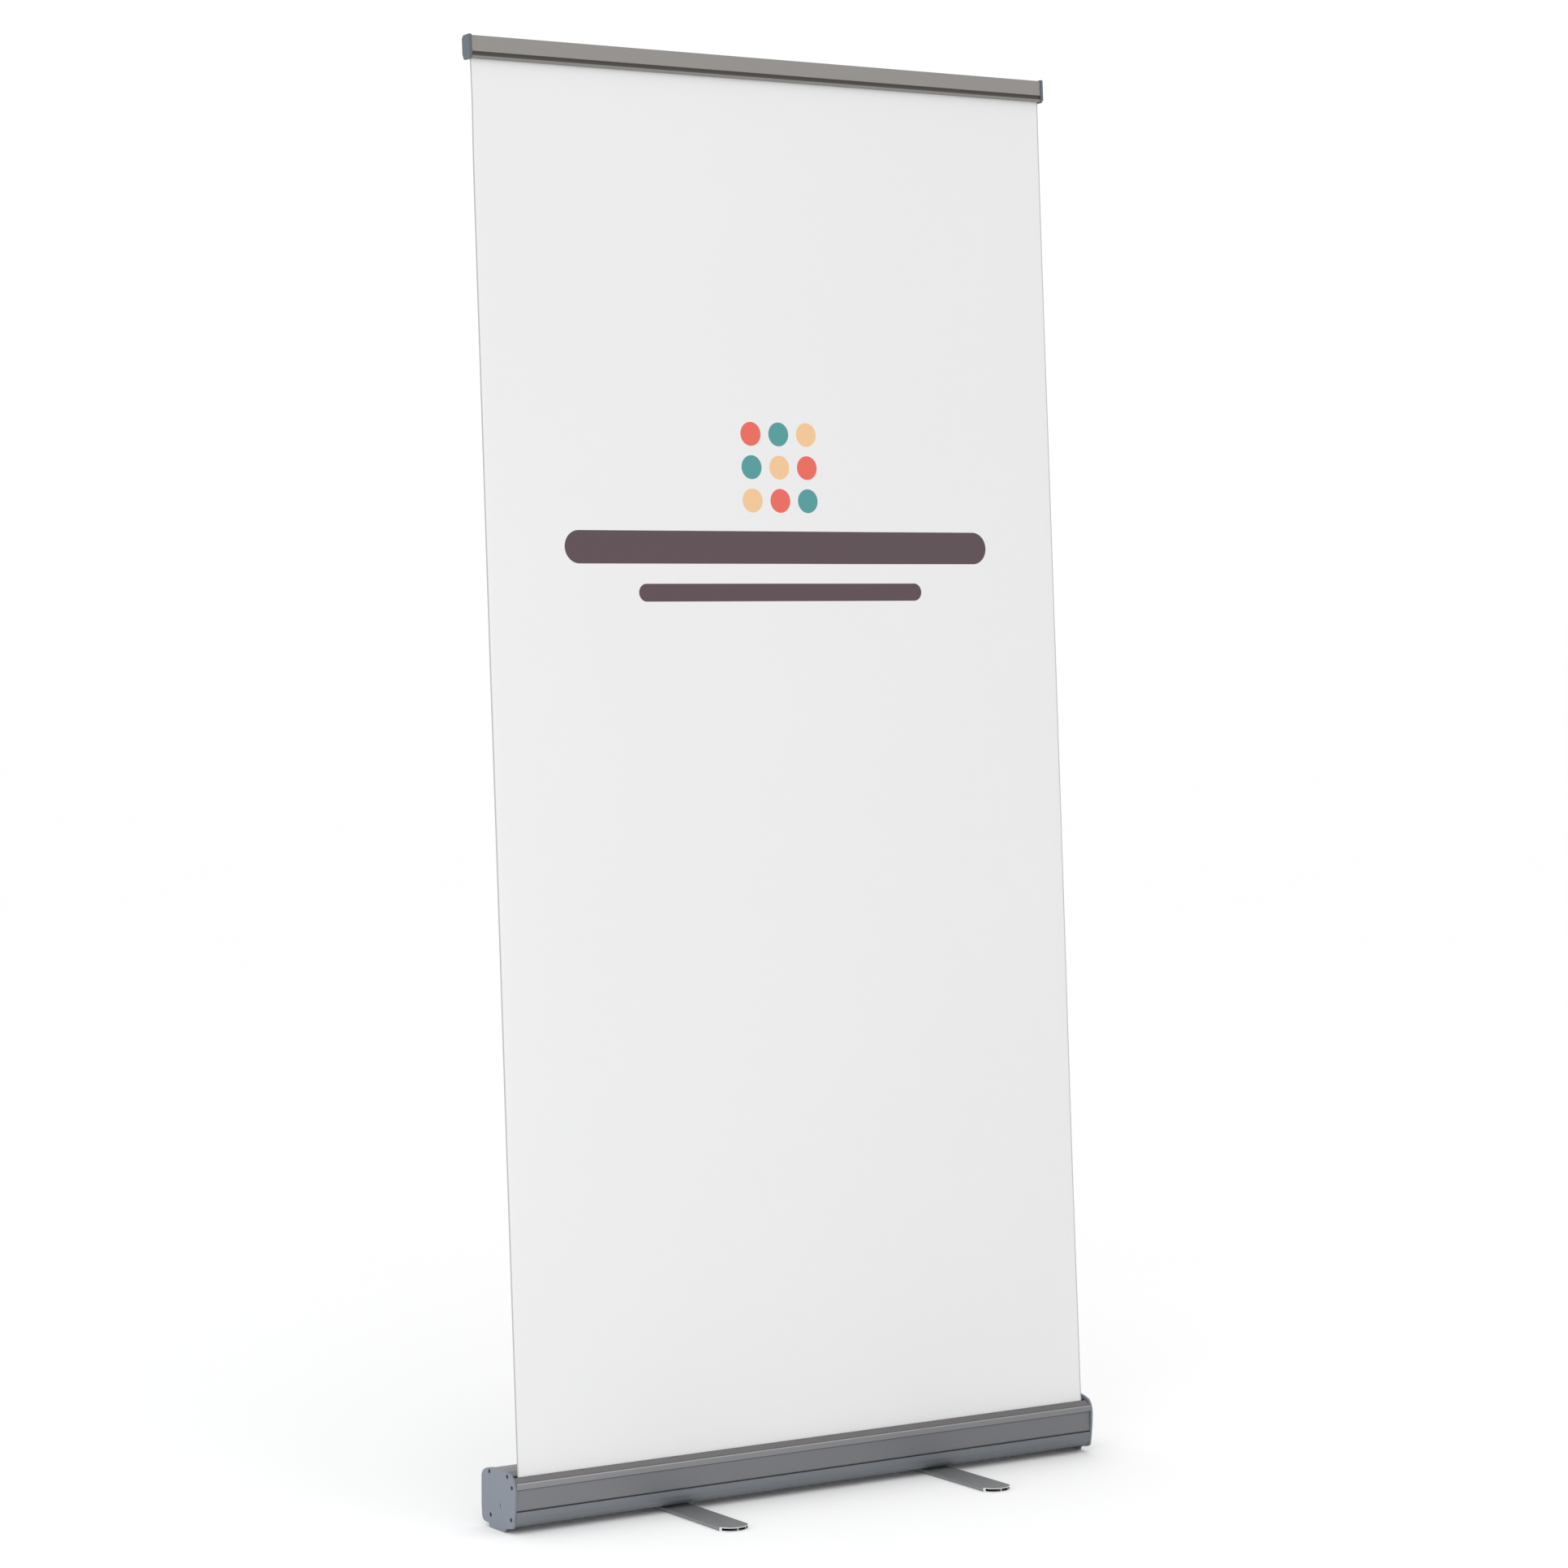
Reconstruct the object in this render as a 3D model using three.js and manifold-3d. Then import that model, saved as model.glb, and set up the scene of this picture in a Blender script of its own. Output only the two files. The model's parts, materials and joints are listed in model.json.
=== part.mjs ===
// Roll-up banner stand: a floor cassette with a spring roller, a telescopic pole behind the
// banner, a clamp rail along its top edge and two feet that swivel out from under the cassette.
// Millimetres, +Z up. The front faces -Y, and +X is to the right of a viewer in front.
import * as THREE from "three";
import { mergeVertices } from "three/addons/utils/BufferGeometryUtils.js";
import Module from "manifold-3d";

const wasm = await Module();
wasm.setup();

// ---- driving dimensions -------------------------------------------------------------------
const BANNER_WIDTH = 1000;
const BANNER_HEIGHT = 2000; // from the slot to the rail, along the lean
const BANNER_THICKNESS = 0.6;
const LEAN = THREE.MathUtils.degToRad(3.5); // the banner leans back
const GAP = 0.3; // between pieces that touch

const CASSETTE_FRONT = -14; // front of the end plates, seen from the banner's plane
const CASSETTE_DEPTH = 95.6;
const CASSETTE_HEIGHT = 88.6;
const CASSETTE_MARGIN = 8.5; // from the banner's edge to the outer face of the housing's end
const WALL = 2;
const SHELL_INSET = 1; // the housing stands this far inside the end plates' outline
const UNDERSIDE = 10; // floor to the underside of the housing
const SLOT_DROP = 8.6; // top of the end plates to the slot's front edge
const SLOT_REAR_DROP = 6.6; // and to its rear edge
const SLOT_FRONT = -2; // edge of the slot in front of the banner
const SLOT_REAR = 4.5; // edge of the slot behind it
const LIP_DROP = 14.6; // top of the end plates to the top of the front lip band
const LIP_HEIGHT = 9.4;
const PANEL_RECESS = 2.1; // the front panel lies behind the lip band
const GROOVE_TOP = 34.4;
const GROOVE_HEIGHT = 1.6;
const GROOVE_DEPTH = 1.2;
const FRONT_EDGE_HEIGHT = 15; // lower front edge of the housing

const PLATE_THICKNESS = 3.5;
const LUG_FRONT = 15; // the lug that each end plate stands on
const LUG_REAR_INSET = 23.6; // end plate's rear edge to the lug's
const LUG_HEIGHT = 5.5;
const SCREW_RADIUS = 1.25;
const SCREW_HEAD_RADIUS = 2.9;
const SCREW_HEAD_HEIGHT = 1.5;
const SCREW_LENGTH = 14;
const PORT_RADIUS = 3.4; // screw ports along the housing
const SCREW_INSETS = {
  topRear: [23.1, 8.4], // from the plate's rear and top
  topFront: [21.7, 7.4], // from its front and top
  lip: [8.7, 21.3], // from its front and top
  bottomRear: [26.7, 18.6], // from its rear and the floor
  bottomFront: [10.9, 21.5], // from its front and the floor
};

const ROLLER_BEHIND_FRONT = 41; // roller axis, behind the end plates' front edge
const ROLLER_HEIGHT = 37;
const ROLLER_RADIUS = 14;
const ROLLER_WALL = 1.5;
const ROLLER_END_GAP = 3; // roller tube to the end plate
const WOUND_THICKNESS = 0.9; // the turns left on the roller when the banner is up
const SHAFT_RADIUS = 4;
const SHAFT_BORE = 1.6; // blind hole in the shaft's outer end
const SHAFT_BORE_DEPTH = 12;
const SPRING_SHAFT_LENGTH = 190;
const IDLE_PIN_LENGTH = 34;
const PLUG_LENGTH = 22;
const SPRING_RADIUS = 7.2;
const SPRING_WIRE = 1;
const SPRING_TURNS = 11;
const SPRING_LENGTH = 120;

const RAIL_HEIGHT = 32;
const RAIL_FRONT = -8;
const RAIL_REAR = 8; // back of the rail's rear wall
const RAIL_WALL = 1.8;
const RAIL_GROOVE_HEIGHT = 3;
const RAIL_GROOVE_DEPTH = 1.2;
const RAIL_LIP_HEIGHT = 5;
const JAW_HEIGHT = 3;
const HOOK_CHANNEL = 2.4; // width of the channel behind the rail
const HOOK_LIP = 1.6;
const HOOK_LIP_DROP = 9;
const HOOK_CHANNEL_DROP = 6; // top of the rail to the channel's
const CAP_THICKNESS = 5;
const CAP_PROUD = 1.5; // the end cap stands this far outside the rail
const CAP_CHAMFER = 4;
const CAP_PLUG_LENGTH = 14;

const POLE_BEHIND = 46; // pole axis, behind the banner's plane
const POLE_RADIUS = 11; // of the lower tube, outside; each next tube slides in the one below
const POLE_WALL = 1.2;
const POLE_OVERLAP = 60; // of one tube in the next, pulled out
const POLE_PLUG_FLANGE = 3;
const POLE_PLUG_LENGTH = 14;
const SOCKET_DEPTH = 18; // pole socket, below the slot along the pole
const SOCKET_TOP = 16; // and above it
const SOCKET_WALL = 2.7;
const SOCKET_FLOOR = 3;
const SOCKET_FLANGE = 3.2;
const COLLAR_WALL = 3.7; // round the lower tube
const COLLAR_HEIGHT = 42;
const COLLAR_GRIP = 24; // length of the collar below the tube's end
const BUSH_LENGTH = 30;
const BUSH_HEAD = 10;
const HEAD_WALL = 3.7; // round the upper tube
const HEAD_HEIGHT = 30;
const HEAD_DROP = 7.4; // top of the rail's channel to the pole's top
const HEAD_ARM_WIDTH = 30;
const HEAD_ARM_HEIGHT = 14;
const HEAD_ARM_ROOT = 0.7; // the arm ends in the head's wall, this far from its bore

const FOOT_PLACE = 231; // each foot's pivot from the middle
const FOOT_PIVOT_BEHIND_FRONT = 54;
const FOOT_REACH = 200; // pivot to the tip in front
const FOOT_TAIL = 38; // pivot to the end behind
const FOOT_WIDTH = 47;
const FOOT_HEIGHT = 6;
const FOOT_WALL = 1.1;
const FOOT_SIDE_WALL = 1.7;
const FOOT_TIP = 20; // depth of the rounded tip
const FOOT_WEBS = [0.45, 0.76]; // the two webs inside, as shares of the width
const BOLT_RADIUS = 3;
const BOLT_HEAD_RADIUS = 6;
const BOLT_HEAD_HEIGHT = 2.2;
const BOLT_ACCESS_RADIUS = 7.5;
const WASHER_RADIUS = 15;
const NUT_RADIUS = 6;
const NUT_HEIGHT = 4.5;

// ---- derived values -----------------------------------------------------------------------
const housingLength = BANNER_WIDTH + 2 * CASSETTE_MARGIN;
const plateInnerX = housingLength / 2 + GAP;
const cassetteRear = CASSETTE_FRONT + CASSETTE_DEPTH;
const slotHeight = CASSETTE_HEIGHT - SLOT_DROP;
const lipTop = CASSETTE_HEIGHT - LIP_DROP;
const lugRear = cassetteRear - LUG_REAR_INSET;
const { topRear, topFront, lip, bottomRear, bottomFront } = SCREW_INSETS;
const screwPlaces = [
  [cassetteRear - topRear[0], CASSETTE_HEIGHT - topRear[1]],
  [CASSETTE_FRONT + topFront[0], CASSETTE_HEIGHT - topFront[1]],
  [CASSETTE_FRONT + lip[0], CASSETTE_HEIGHT - lip[1]],
  [cassetteRear - bottomRear[0], bottomRear[1]],
  [CASSETTE_FRONT + bottomFront[0], bottomFront[1]],
];
const shellFront = CASSETTE_FRONT + SHELL_INSET;
const panelFront = shellFront + PANEL_RECESS;
const rollerY = CASSETTE_FRONT + ROLLER_BEHIND_FRONT;
const woundRadius = ROLLER_RADIUS + GAP + WOUND_THICKNESS;
const footPivotY = CASSETTE_FRONT + FOOT_PIVOT_BEHIND_FRONT;
const footNutTop = UNDERSIDE + WALL + GAP + NUT_HEIGHT;
const railBottom = BANNER_HEIGHT;
const railTop = railBottom + RAIL_HEIGHT;
const hookChannelTop = railTop - HOOK_CHANNEL_DROP;
const capInnerX = BANNER_WIDTH / 2 + GAP;
// The tubes' outsides, lower to upper, and their shared length.
const poleRadii = [0, 1, 2].map((i) => POLE_RADIUS - i * (POLE_WALL + GAP));
const collarRadius = POLE_RADIUS + GAP + COLLAR_WALL;
const headRadius = poleRadii[2] + GAP + HEAD_WALL;
const poleBottom = -SOCKET_DEPTH + SOCKET_FLOOR + GAP + POLE_PLUG_FLANGE + GAP;
const poleTop = hookChannelTop - HEAD_DROP;
const tubeLength = (poleTop - poleBottom + 2 * POLE_OVERLAP) / 3;
const SIDES = 24;

// ---- materials ----------------------------------------------------------------------------
const finish = (color, roughness, metalness) =>
  new THREE.MeshStandardMaterial({ color, roughness, metalness });
const CASSETTE_ALUMINIUM = [0x7d8084, 0.45, 0.6];
const RAIL_ALUMINIUM = [0x9a958f, 0.45, 0.6];
const POLE_ALUMINIUM = [0xa8abad, 0.35, 0.8];
const FOOT_ALUMINIUM = [0x787c80, 0.45, 0.6];
const STEEL = [0x8c8f92, 0.35, 0.9];
const PLATE_PLASTIC = [0x8b939e, 0.5, 0.1];
const CAP_PLASTIC = [0x6c7987, 0.5, 0.1];
const BLACK_PLASTIC = [0x26282b, 0.6, 0];
const NYLON = [0xd8d6cf, 0.6, 0];
const SHEET = [0xececec, 0.7, 0];

// ---- shape helpers ------------------------------------------------------------------------
// A closed geometry as a manifold-3d solid.
function solid(geometry) {
  const bare = geometry.clone();
  bare.deleteAttribute("normal");
  bare.deleteAttribute("uv");
  const merged = mergeVertices(bare, 1e-4);
  return new wasm.Manifold(
    new wasm.Mesh({
      numProp: 3,
      vertProperties: new Float32Array(merged.attributes.position.array),
      triVerts: new Uint32Array(merged.index.array),
    }),
  );
}

function geometryOf(manifold) {
  const mesh = manifold.getMesh();
  const count = mesh.numProp;
  const corners = new Float32Array(mesh.numVert * 3);
  for (let i = 0; i < mesh.numVert; i++)
    corners.set(mesh.vertProperties.subarray(i * count, i * count + 3), i * 3);
  return new THREE.BufferGeometry()
    .setAttribute("position", new THREE.BufferAttribute(corners, 3))
    .setIndex(new THREE.BufferAttribute(mesh.triVerts, 1));
}

const join = (...solids) => solids.reduce((whole, one) => whole.add(one));
const cut = (body, ...tools) => tools.reduce((whole, one) => whole.subtract(one), body);

// A box between two corners.
function box(low, high) {
  const size = high.map((value, i) => value - low[i]);
  const middle = high.map((value, i) => (value + low[i]) / 2);
  return solid(new THREE.BoxGeometry(...size).translate(...middle));
}

// A [y, z] outline carried along X between two places.
function alongX(outline, from, to, curveSegments = 6) {
  const shape = Array.isArray(outline)
    ? new THREE.Shape(outline.map(([y, z]) => new THREE.Vector2(y, z)))
    : outline;
  const settings = { depth: to - from, bevelEnabled: false, steps: 1, curveSegments };
  const axes = new THREE.Matrix4().set(0, 0, 1, from, 1, 0, 0, 0, 0, 1, 0, 0, 0, 0, 0, 1);
  return solid(new THREE.ExtrudeGeometry(shape, settings).applyMatrix4(axes));
}

// A shape in X and Y carried up Z.
function alongZ(shape, from, to, curveSegments = 6) {
  const settings = { depth: to - from, bevelEnabled: false, steps: 1, curveSegments };
  return solid(new THREE.ExtrudeGeometry(shape, settings).translate(0, 0, from));
}

// A profile of [radius, height] points turned about Z. It starts and ends on the axis, or
// closes on itself where the piece is hollow.
function turned(profile, sides = SIDES) {
  const hollow = profile.every(([radius]) => radius > 0);
  const points = (hollow ? [...profile, profile[0]] : profile).map(
    ([radius, height]) => new THREE.Vector2(radius, height),
  );
  return solid(new THREE.LatheGeometry(points, sides).rotateX(Math.PI / 2));
}

const rod = (radius, from, to, sides = SIDES) =>
  turned([[0, from], [radius, from], [radius, to], [0, to]], sides);
const pipe = (outer, inner, from, to, sides = SIDES) =>
  turned([[inner, from], [outer, from], [outer, to], [inner, to]], sides);

// The same pieces lying along X: Z becomes X.
const lying = (manifold) => manifold.rotate([0, 90, 0]);

// A path with a thickness on its left side, as a closed outline.
function band(path, thickness) {
  const inner = path.map(([y, z], i) => {
    const before = path[Math.max(i - 1, 0)];
    const after = path[Math.min(i + 1, path.length - 1)];
    const into = new THREE.Vector2(y - before[0], z - before[1]).normalize();
    const out = new THREE.Vector2(after[0] - y, after[1] - z).normalize();
    if (i === 0) into.copy(out);
    if (i === path.length - 1) out.copy(into);
    const along = into.clone().add(out).normalize();
    const reach = thickness / Math.max(along.dot(out), 0.5);
    return [y - along.y * reach, z + along.x * reach];
  });
  return [...path, ...inner.reverse()];
}

function place(group, name, look, shape, position = [0, 0, 0]) {
  const mesh = new THREE.Mesh(geometryOf(shape), finish(...look));
  mesh.name = name;
  mesh.position.set(...position);
  group.add(mesh);
  return mesh;
}

// ---- cassette -----------------------------------------------------------------------------
// The end plate's outline: a bulging front, an arched top, a rounded rear and a lug below.
function plateShape() {
  const front = CASSETTE_FRONT;
  const rear = cassetteRear;
  const top = CASSETTE_HEIGHT;
  const shape = new THREE.Shape();
  shape.moveTo(LUG_FRONT, 0);
  shape.lineTo(lugRear, 0);
  shape.lineTo(lugRear + 2.5, LUG_HEIGHT);
  shape.lineTo(rear - 10, LUG_HEIGHT + 0.8);
  shape.quadraticCurveTo(rear - 1.8, LUG_HEIGHT + 2, rear - 1.2, LUG_HEIGHT + 11);
  shape.lineTo(rear, LUG_HEIGHT + 24);
  shape.lineTo(rear, top - 19);
  shape.quadraticCurveTo(rear - 1, top - 8.5, rear - 15, top - 4.8);
  shape.quadraticCurveTo(rear - 32, top, rear - 50, top);
  shape.quadraticCurveTo(front + 25, top + 0.2, front + 9, top - 6.5);
  shape.quadraticCurveTo(front - 0.2, top - 14, front, top - 30);
  shape.quadraticCurveTo(front + 0.2, top - 52, front + 4.4, LUG_HEIGHT + 7);
  shape.quadraticCurveTo(front + 6, LUG_HEIGHT + 3.6, front + 12, LUG_HEIGHT + 2.8);
  shape.lineTo(LUG_FRONT - 2.5, LUG_HEIGHT);
  shape.lineTo(LUG_FRONT, 0);
  return shape;
}

// The housing's outside from its underside, up the rear wall and over to the slot's rear edge.
function rearPath() {
  const rear = cassetteRear - SHELL_INSET;
  const top = CASSETTE_HEIGHT - SHELL_INSET;
  return [
    [LUG_FRONT - 2, UNDERSIDE],
    [rear - 9, UNDERSIDE],
    [rear - 2.5, UNDERSIDE + 4],
    [rear, UNDERSIDE + 12],
    [rear, top - 19],
    [rear - 3.5, top - 10.5],
    [rear - 14, top - 4.7],
    [rear - 30, top - 0.8],
    [rear - 48, top],
    [SLOT_REAR + 10, top - 1.2],
    [SLOT_REAR, CASSETTE_HEIGHT - SLOT_REAR_DROP],
  ];
}

// The wall's whole path, from the slot's front edge round below to its rear edge.
function shellPath() {
  return [
    [SLOT_FRONT, slotHeight],
    [panelFront, lipTop - 2],
    [panelFront, FRONT_EDGE_HEIGHT + 12],
    [panelFront + 2.2, FRONT_EDGE_HEIGHT + 2],
    [panelFront + 6, UNDERSIDE + 1],
    ...rearPath(),
  ];
}

// The housing's outside with its front bands, closed across the slot.
function outsideOutline() {
  return [
    [SLOT_FRONT, slotHeight],
    [shellFront + 1.2, lipTop],
    [shellFront, lipTop - 1],
    [shellFront, FRONT_EDGE_HEIGHT + 9],
    [panelFront + 2.6, FRONT_EDGE_HEIGHT],
    [panelFront + 6, UNDERSIDE + 1],
    ...rearPath(),
  ];
}

// The lean of the pole and banner about the slot.
const leaned = (manifold) =>
  manifold.rotate([-THREE.MathUtils.radToDeg(LEAN), 0, 0]).translate([0, 0, slotHeight]);

function housing() {
  const half = housingLength / 2;
  const front = shellFront;
  const panel = panelFront;
  const shell = alongX(band(shellPath(), WALL), -half, half);
  const lipBand = alongX(
    [
      [SLOT_FRONT, slotHeight],
      [front + 1.2, lipTop],
      [front, lipTop - 1],
      [front, lipTop - LIP_HEIGHT],
      [panel + WALL, lipTop - LIP_HEIGHT],
      [panel + WALL, lipTop - WALL],
      [SLOT_FRONT, slotHeight - WALL],
    ],
    -half,
    half,
  );
  const lowerTop = GROOVE_TOP - GROOVE_HEIGHT;
  const lowerBand = alongX(
    [
      [panel - 1.1, lowerTop],
      [panel - 0.7, FRONT_EDGE_HEIGHT + 9],
      [panel + 1.2, FRONT_EDGE_HEIGHT + 1.5],
      [panel + 2.6, FRONT_EDGE_HEIGHT],
      [panel + 6, UNDERSIDE + 1],
      [panel + 6, UNDERSIDE + WALL],
      [panel + WALL + 2, FRONT_EDGE_HEIGHT + 2],
      [panel + WALL, lowerTop],
    ],
    -half,
    half,
  );
  const rib = box(
    [-half, panel + WALL - 0.6, lowerTop - 2],
    [half, panel + WALL + 1, GROOVE_TOP + 2],
  );
  const groove = box(
    [-half - 1, panel - 3, lowerTop],
    [half + 1, panel + GROOVE_DEPTH, GROOVE_TOP],
  );
  let body = cut(join(shell, lipBand, lowerBand, rib), groove);
  for (const [y, height] of screwPlaces) {
    const port = lying(rod(PORT_RADIUS, -half, half, 10)).translate([0, y, height]);
    body = join(body, port, portWeb(y, height, half));
  }
  body = body.intersect(alongX(outsideOutline(), -half - 1, half + 1));
  for (const [y, height] of screwPlaces) {
    const hole = lying(rod(SCREW_RADIUS + GAP, -half - 1, half + 1, 8));
    body = cut(body, hole.translate([0, y, height]));
  }
  const socketHole = rod(
    POLE_RADIUS + GAP + SOCKET_WALL + GAP,
    -SOCKET_DEPTH - GAP,
    SOCKET_TOP + 10,
  ).translate([0, POLE_BEHIND, 0]);
  body = cut(body, leaned(socketHole));
  for (const side of [-1, 1]) {
    const boltHole = rod(BOLT_RADIUS + GAP, UNDERSIDE - 1, UNDERSIDE + WALL + 1, 16);
    const nutRoom = rod(NUT_RADIUS + GAP, UNDERSIDE + WALL + GAP / 2, footNutTop + GAP, 16);
    const pivot = [side * FOOT_PLACE, footPivotY, 0];
    body = cut(body, boltHole.translate(pivot), nutRoom.translate(pivot));
  }
  return body;
}

// The web that ties a screw port to the nearest wall.
function portWeb(y, height, half) {
  const thin = 1;
  const front = panelFront + WALL / 2;
  if (y < SLOT_REAR) return box([-half, front, height - thin], [half, y, height + thin]);
  if (height < CASSETTE_HEIGHT / 2)
    return box([-half, y - thin, UNDERSIDE + 0.5], [half, y + thin, height]);
  return box([-half, y - thin, height], [half, y + thin, CASSETTE_HEIGHT - SHELL_INSET - 3]);
}

function endPlate(side) {
  const inner = side * plateInnerX;
  const outer = side * (plateInnerX + PLATE_THICKNESS);
  const [low, high] = [Math.min(inner, outer), Math.max(inner, outer)];
  let body = alongX(plateShape(), low, high);
  for (const [y, height] of screwPlaces) {
    const at = [0, y, height];
    const hole = lying(rod(SCREW_RADIUS + GAP, low - 1, high + 1, 12));
    const headDepth = SCREW_HEAD_HEIGHT + GAP;
    const headFrom = side > 0 ? outer - headDepth : outer - 1;
    const headHole = rod(SCREW_HEAD_RADIUS + GAP, headFrom, headFrom + headDepth + 1, 12);
    body = cut(body, hole.translate(at), lying(headHole).translate(at));
  }
  const shaftHole = lying(rod(SHAFT_RADIUS + GAP, low - 1, high + 1, 16));
  return cut(body, shaftHole.translate([0, rollerY, ROLLER_HEIGHT]));
}

function screw() {
  return turned(
    [
      [0, -SCREW_LENGTH],
      [SCREW_RADIUS, -SCREW_LENGTH],
      [SCREW_RADIUS, -SCREW_HEAD_HEIGHT],
      [SCREW_HEAD_RADIUS, -SCREW_HEAD_HEIGHT],
      [SCREW_HEAD_RADIUS, -0.5],
      [SCREW_HEAD_RADIUS - 0.7, 0],
      [0, 0],
    ],
    12,
  );
}

function cassette(root) {
  place(root, "cassette_housing", CASSETTE_ALUMINIUM, housing());
  for (const [side, word] of [[-1, "left"], [1, "right"]]) {
    place(root, "end_plate_" + word, PLATE_PLASTIC, endPlate(side));
    screwPlaces.forEach(([y, height], i) => {
      const mesh = place(root, `end_plate_${word}_screw_${i + 1}`, STEEL, screw());
      mesh.rotation.y = (side * Math.PI) / 2;
      mesh.position.set(side * (plateInnerX + PLATE_THICKNESS), y, height);
    });
  }
}

// ---- roller -------------------------------------------------------------------------------
// A coil spring round Z, its wire of six sides.
function coil(length) {
  const turn = Math.PI * 2;
  class Helix extends THREE.Curve {
    getPoint(t, target = new THREE.Vector3()) {
      const angle = t * SPRING_TURNS * turn;
      const height = SPRING_WIRE + t * (length - 2 * SPRING_WIRE);
      return target.set(SPRING_RADIUS * Math.cos(angle), SPRING_RADIUS * Math.sin(angle), height);
    }
  }
  const wire = new THREE.Shape();
  wire.absarc(0, 0, SPRING_WIRE, 0, turn);
  const settings = { extrudePath: new Helix(), steps: SPRING_TURNS * 10, curveSegments: 3 };
  return solid(new THREE.ExtrudeGeometry(wire, settings));
}

function roller(root) {
  const group = new THREE.Group();
  group.position.set(0, rollerY, ROLLER_HEIGHT);
  root.add(group);
  const half = plateInnerX - ROLLER_END_GAP;
  const inside = ROLLER_RADIUS - ROLLER_WALL;
  const plateOuter = plateInnerX + PLATE_THICKNESS;
  const tube = lying(pipe(ROLLER_RADIUS, inside, -half, half));
  place(group, "roller_tube", POLE_ALUMINIUM, tube);
  const wound = pipe(woundRadius, ROLLER_RADIUS + GAP, -BANNER_WIDTH / 2, BANNER_WIDTH / 2);
  place(group, "banner_wound_turns", SHEET, lying(wound));
  for (const [side, word] of [[-1, "left"], [1, "right"]]) {
    const flange = [half + GAP, half + GAP + 1.8];
    const bore = SHAFT_RADIUS + GAP;
    const plug = turned([
      [bore, half - PLUG_LENGTH],
      [inside - GAP, half - PLUG_LENGTH],
      [inside - GAP, flange[0]],
      [ROLLER_RADIUS, flange[0]],
      [ROLLER_RADIUS, flange[1]],
      [bore, flange[1]],
    ]);
    place(group, "roller_plug_" + word, BLACK_PLASTIC, lying(side > 0 ? plug : plug.mirror([0, 0, 1])));
  }
  const shaftEnd = -plateOuter + SPRING_SHAFT_LENGTH;
  const shaft = turned(
    [
      [0, SHAFT_BORE_DEPTH - plateOuter],
      [SHAFT_BORE, SHAFT_BORE_DEPTH - plateOuter],
      [SHAFT_BORE, -plateOuter],
      [SHAFT_RADIUS, -plateOuter],
      [SHAFT_RADIUS, shaftEnd],
      [0, shaftEnd],
    ],
    16,
  );
  place(group, "spring_shaft", STEEL, lying(shaft));
  const pin = turned(
    [
      [0, plateOuter - IDLE_PIN_LENGTH],
      [SHAFT_RADIUS, plateOuter - IDLE_PIN_LENGTH],
      [SHAFT_RADIUS, plateOuter],
      [SHAFT_BORE, plateOuter],
      [SHAFT_BORE, plateOuter - SHAFT_BORE_DEPTH],
      [0, plateOuter - SHAFT_BORE_DEPTH],
    ],
    16,
  );
  place(group, "idle_pin", STEEL, lying(pin));
  const springFrom = -half + PLUG_LENGTH + GAP;
  place(group, "roller_spring", STEEL, lying(coil(SPRING_LENGTH)), [springFrom, 0, 0]);
  const arborFrom = springFrom + SPRING_LENGTH + GAP;
  const arbor = pipe(inside - 1, SHAFT_RADIUS + GAP, arborFrom, arborFrom + 16);
  place(group, "spring_arbor", BLACK_PLASTIC, lying(arbor));
}

// ---- mast: banner, rail and pole, all in the leaning frame --------------------------------
// The banner leaves the wound turns at a tangent, bends at the slot and runs up to the rail.
function bannerOutline() {
  const toAxis = new THREE.Vector2(rollerY, ROLLER_HEIGHT - slotHeight);
  const clear = woundRadius + GAP + BANNER_THICKNESS / 2;
  const swing = Math.asin(clear / toAxis.length());
  const reach = Math.sqrt(toAxis.lengthSq() - clear * clear);
  const tangent = toAxis.clone().normalize().rotateAround(new THREE.Vector2(), -swing);
  const foot = tangent.multiplyScalar(reach).rotateAround(new THREE.Vector2(), LEAN);
  const half = BANNER_THICKNESS / 2;
  const top = railBottom + RAIL_HEIGHT / 2;
  const across = new THREE.Vector2(-foot.y, foot.x).normalize().multiplyScalar(half);
  return [
    [-half, 0],
    [foot.x - across.x, foot.y - across.y],
    [foot.x + across.x, foot.y + across.y],
    [half, 0],
    [half, top],
    [-half, top],
  ];
}

function railFront() {
  const front = RAIL_FRONT;
  const back = front + RAIL_WALL;
  const grooveLow = railBottom + RAIL_LIP_HEIGHT;
  const grooveHigh = grooveLow + RAIL_GROOVE_HEIGHT;
  const grip = -BANNER_THICKNESS / 2 - GAP;
  return [
    [front + 0.6, railBottom],
    [grip, railBottom],
    [grip, railBottom + JAW_HEIGHT],
    [back + 1, railBottom + JAW_HEIGHT],
    [back + RAIL_GROOVE_DEPTH, grooveLow - 1],
    [back + RAIL_GROOVE_DEPTH, grooveHigh + 1],
    [back, grooveHigh + 2],
    [back, railTop - 1],
    [back - 0.6, railTop],
    [front + 0.8, railTop],
    [front, railTop - 0.8],
    [front, grooveHigh],
    [front + RAIL_GROOVE_DEPTH, grooveHigh],
    [front + RAIL_GROOVE_DEPTH, grooveLow],
    [front + 0.2, grooveLow],
    [front + 0.2, railBottom + 0.6],
  ];
}

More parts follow.
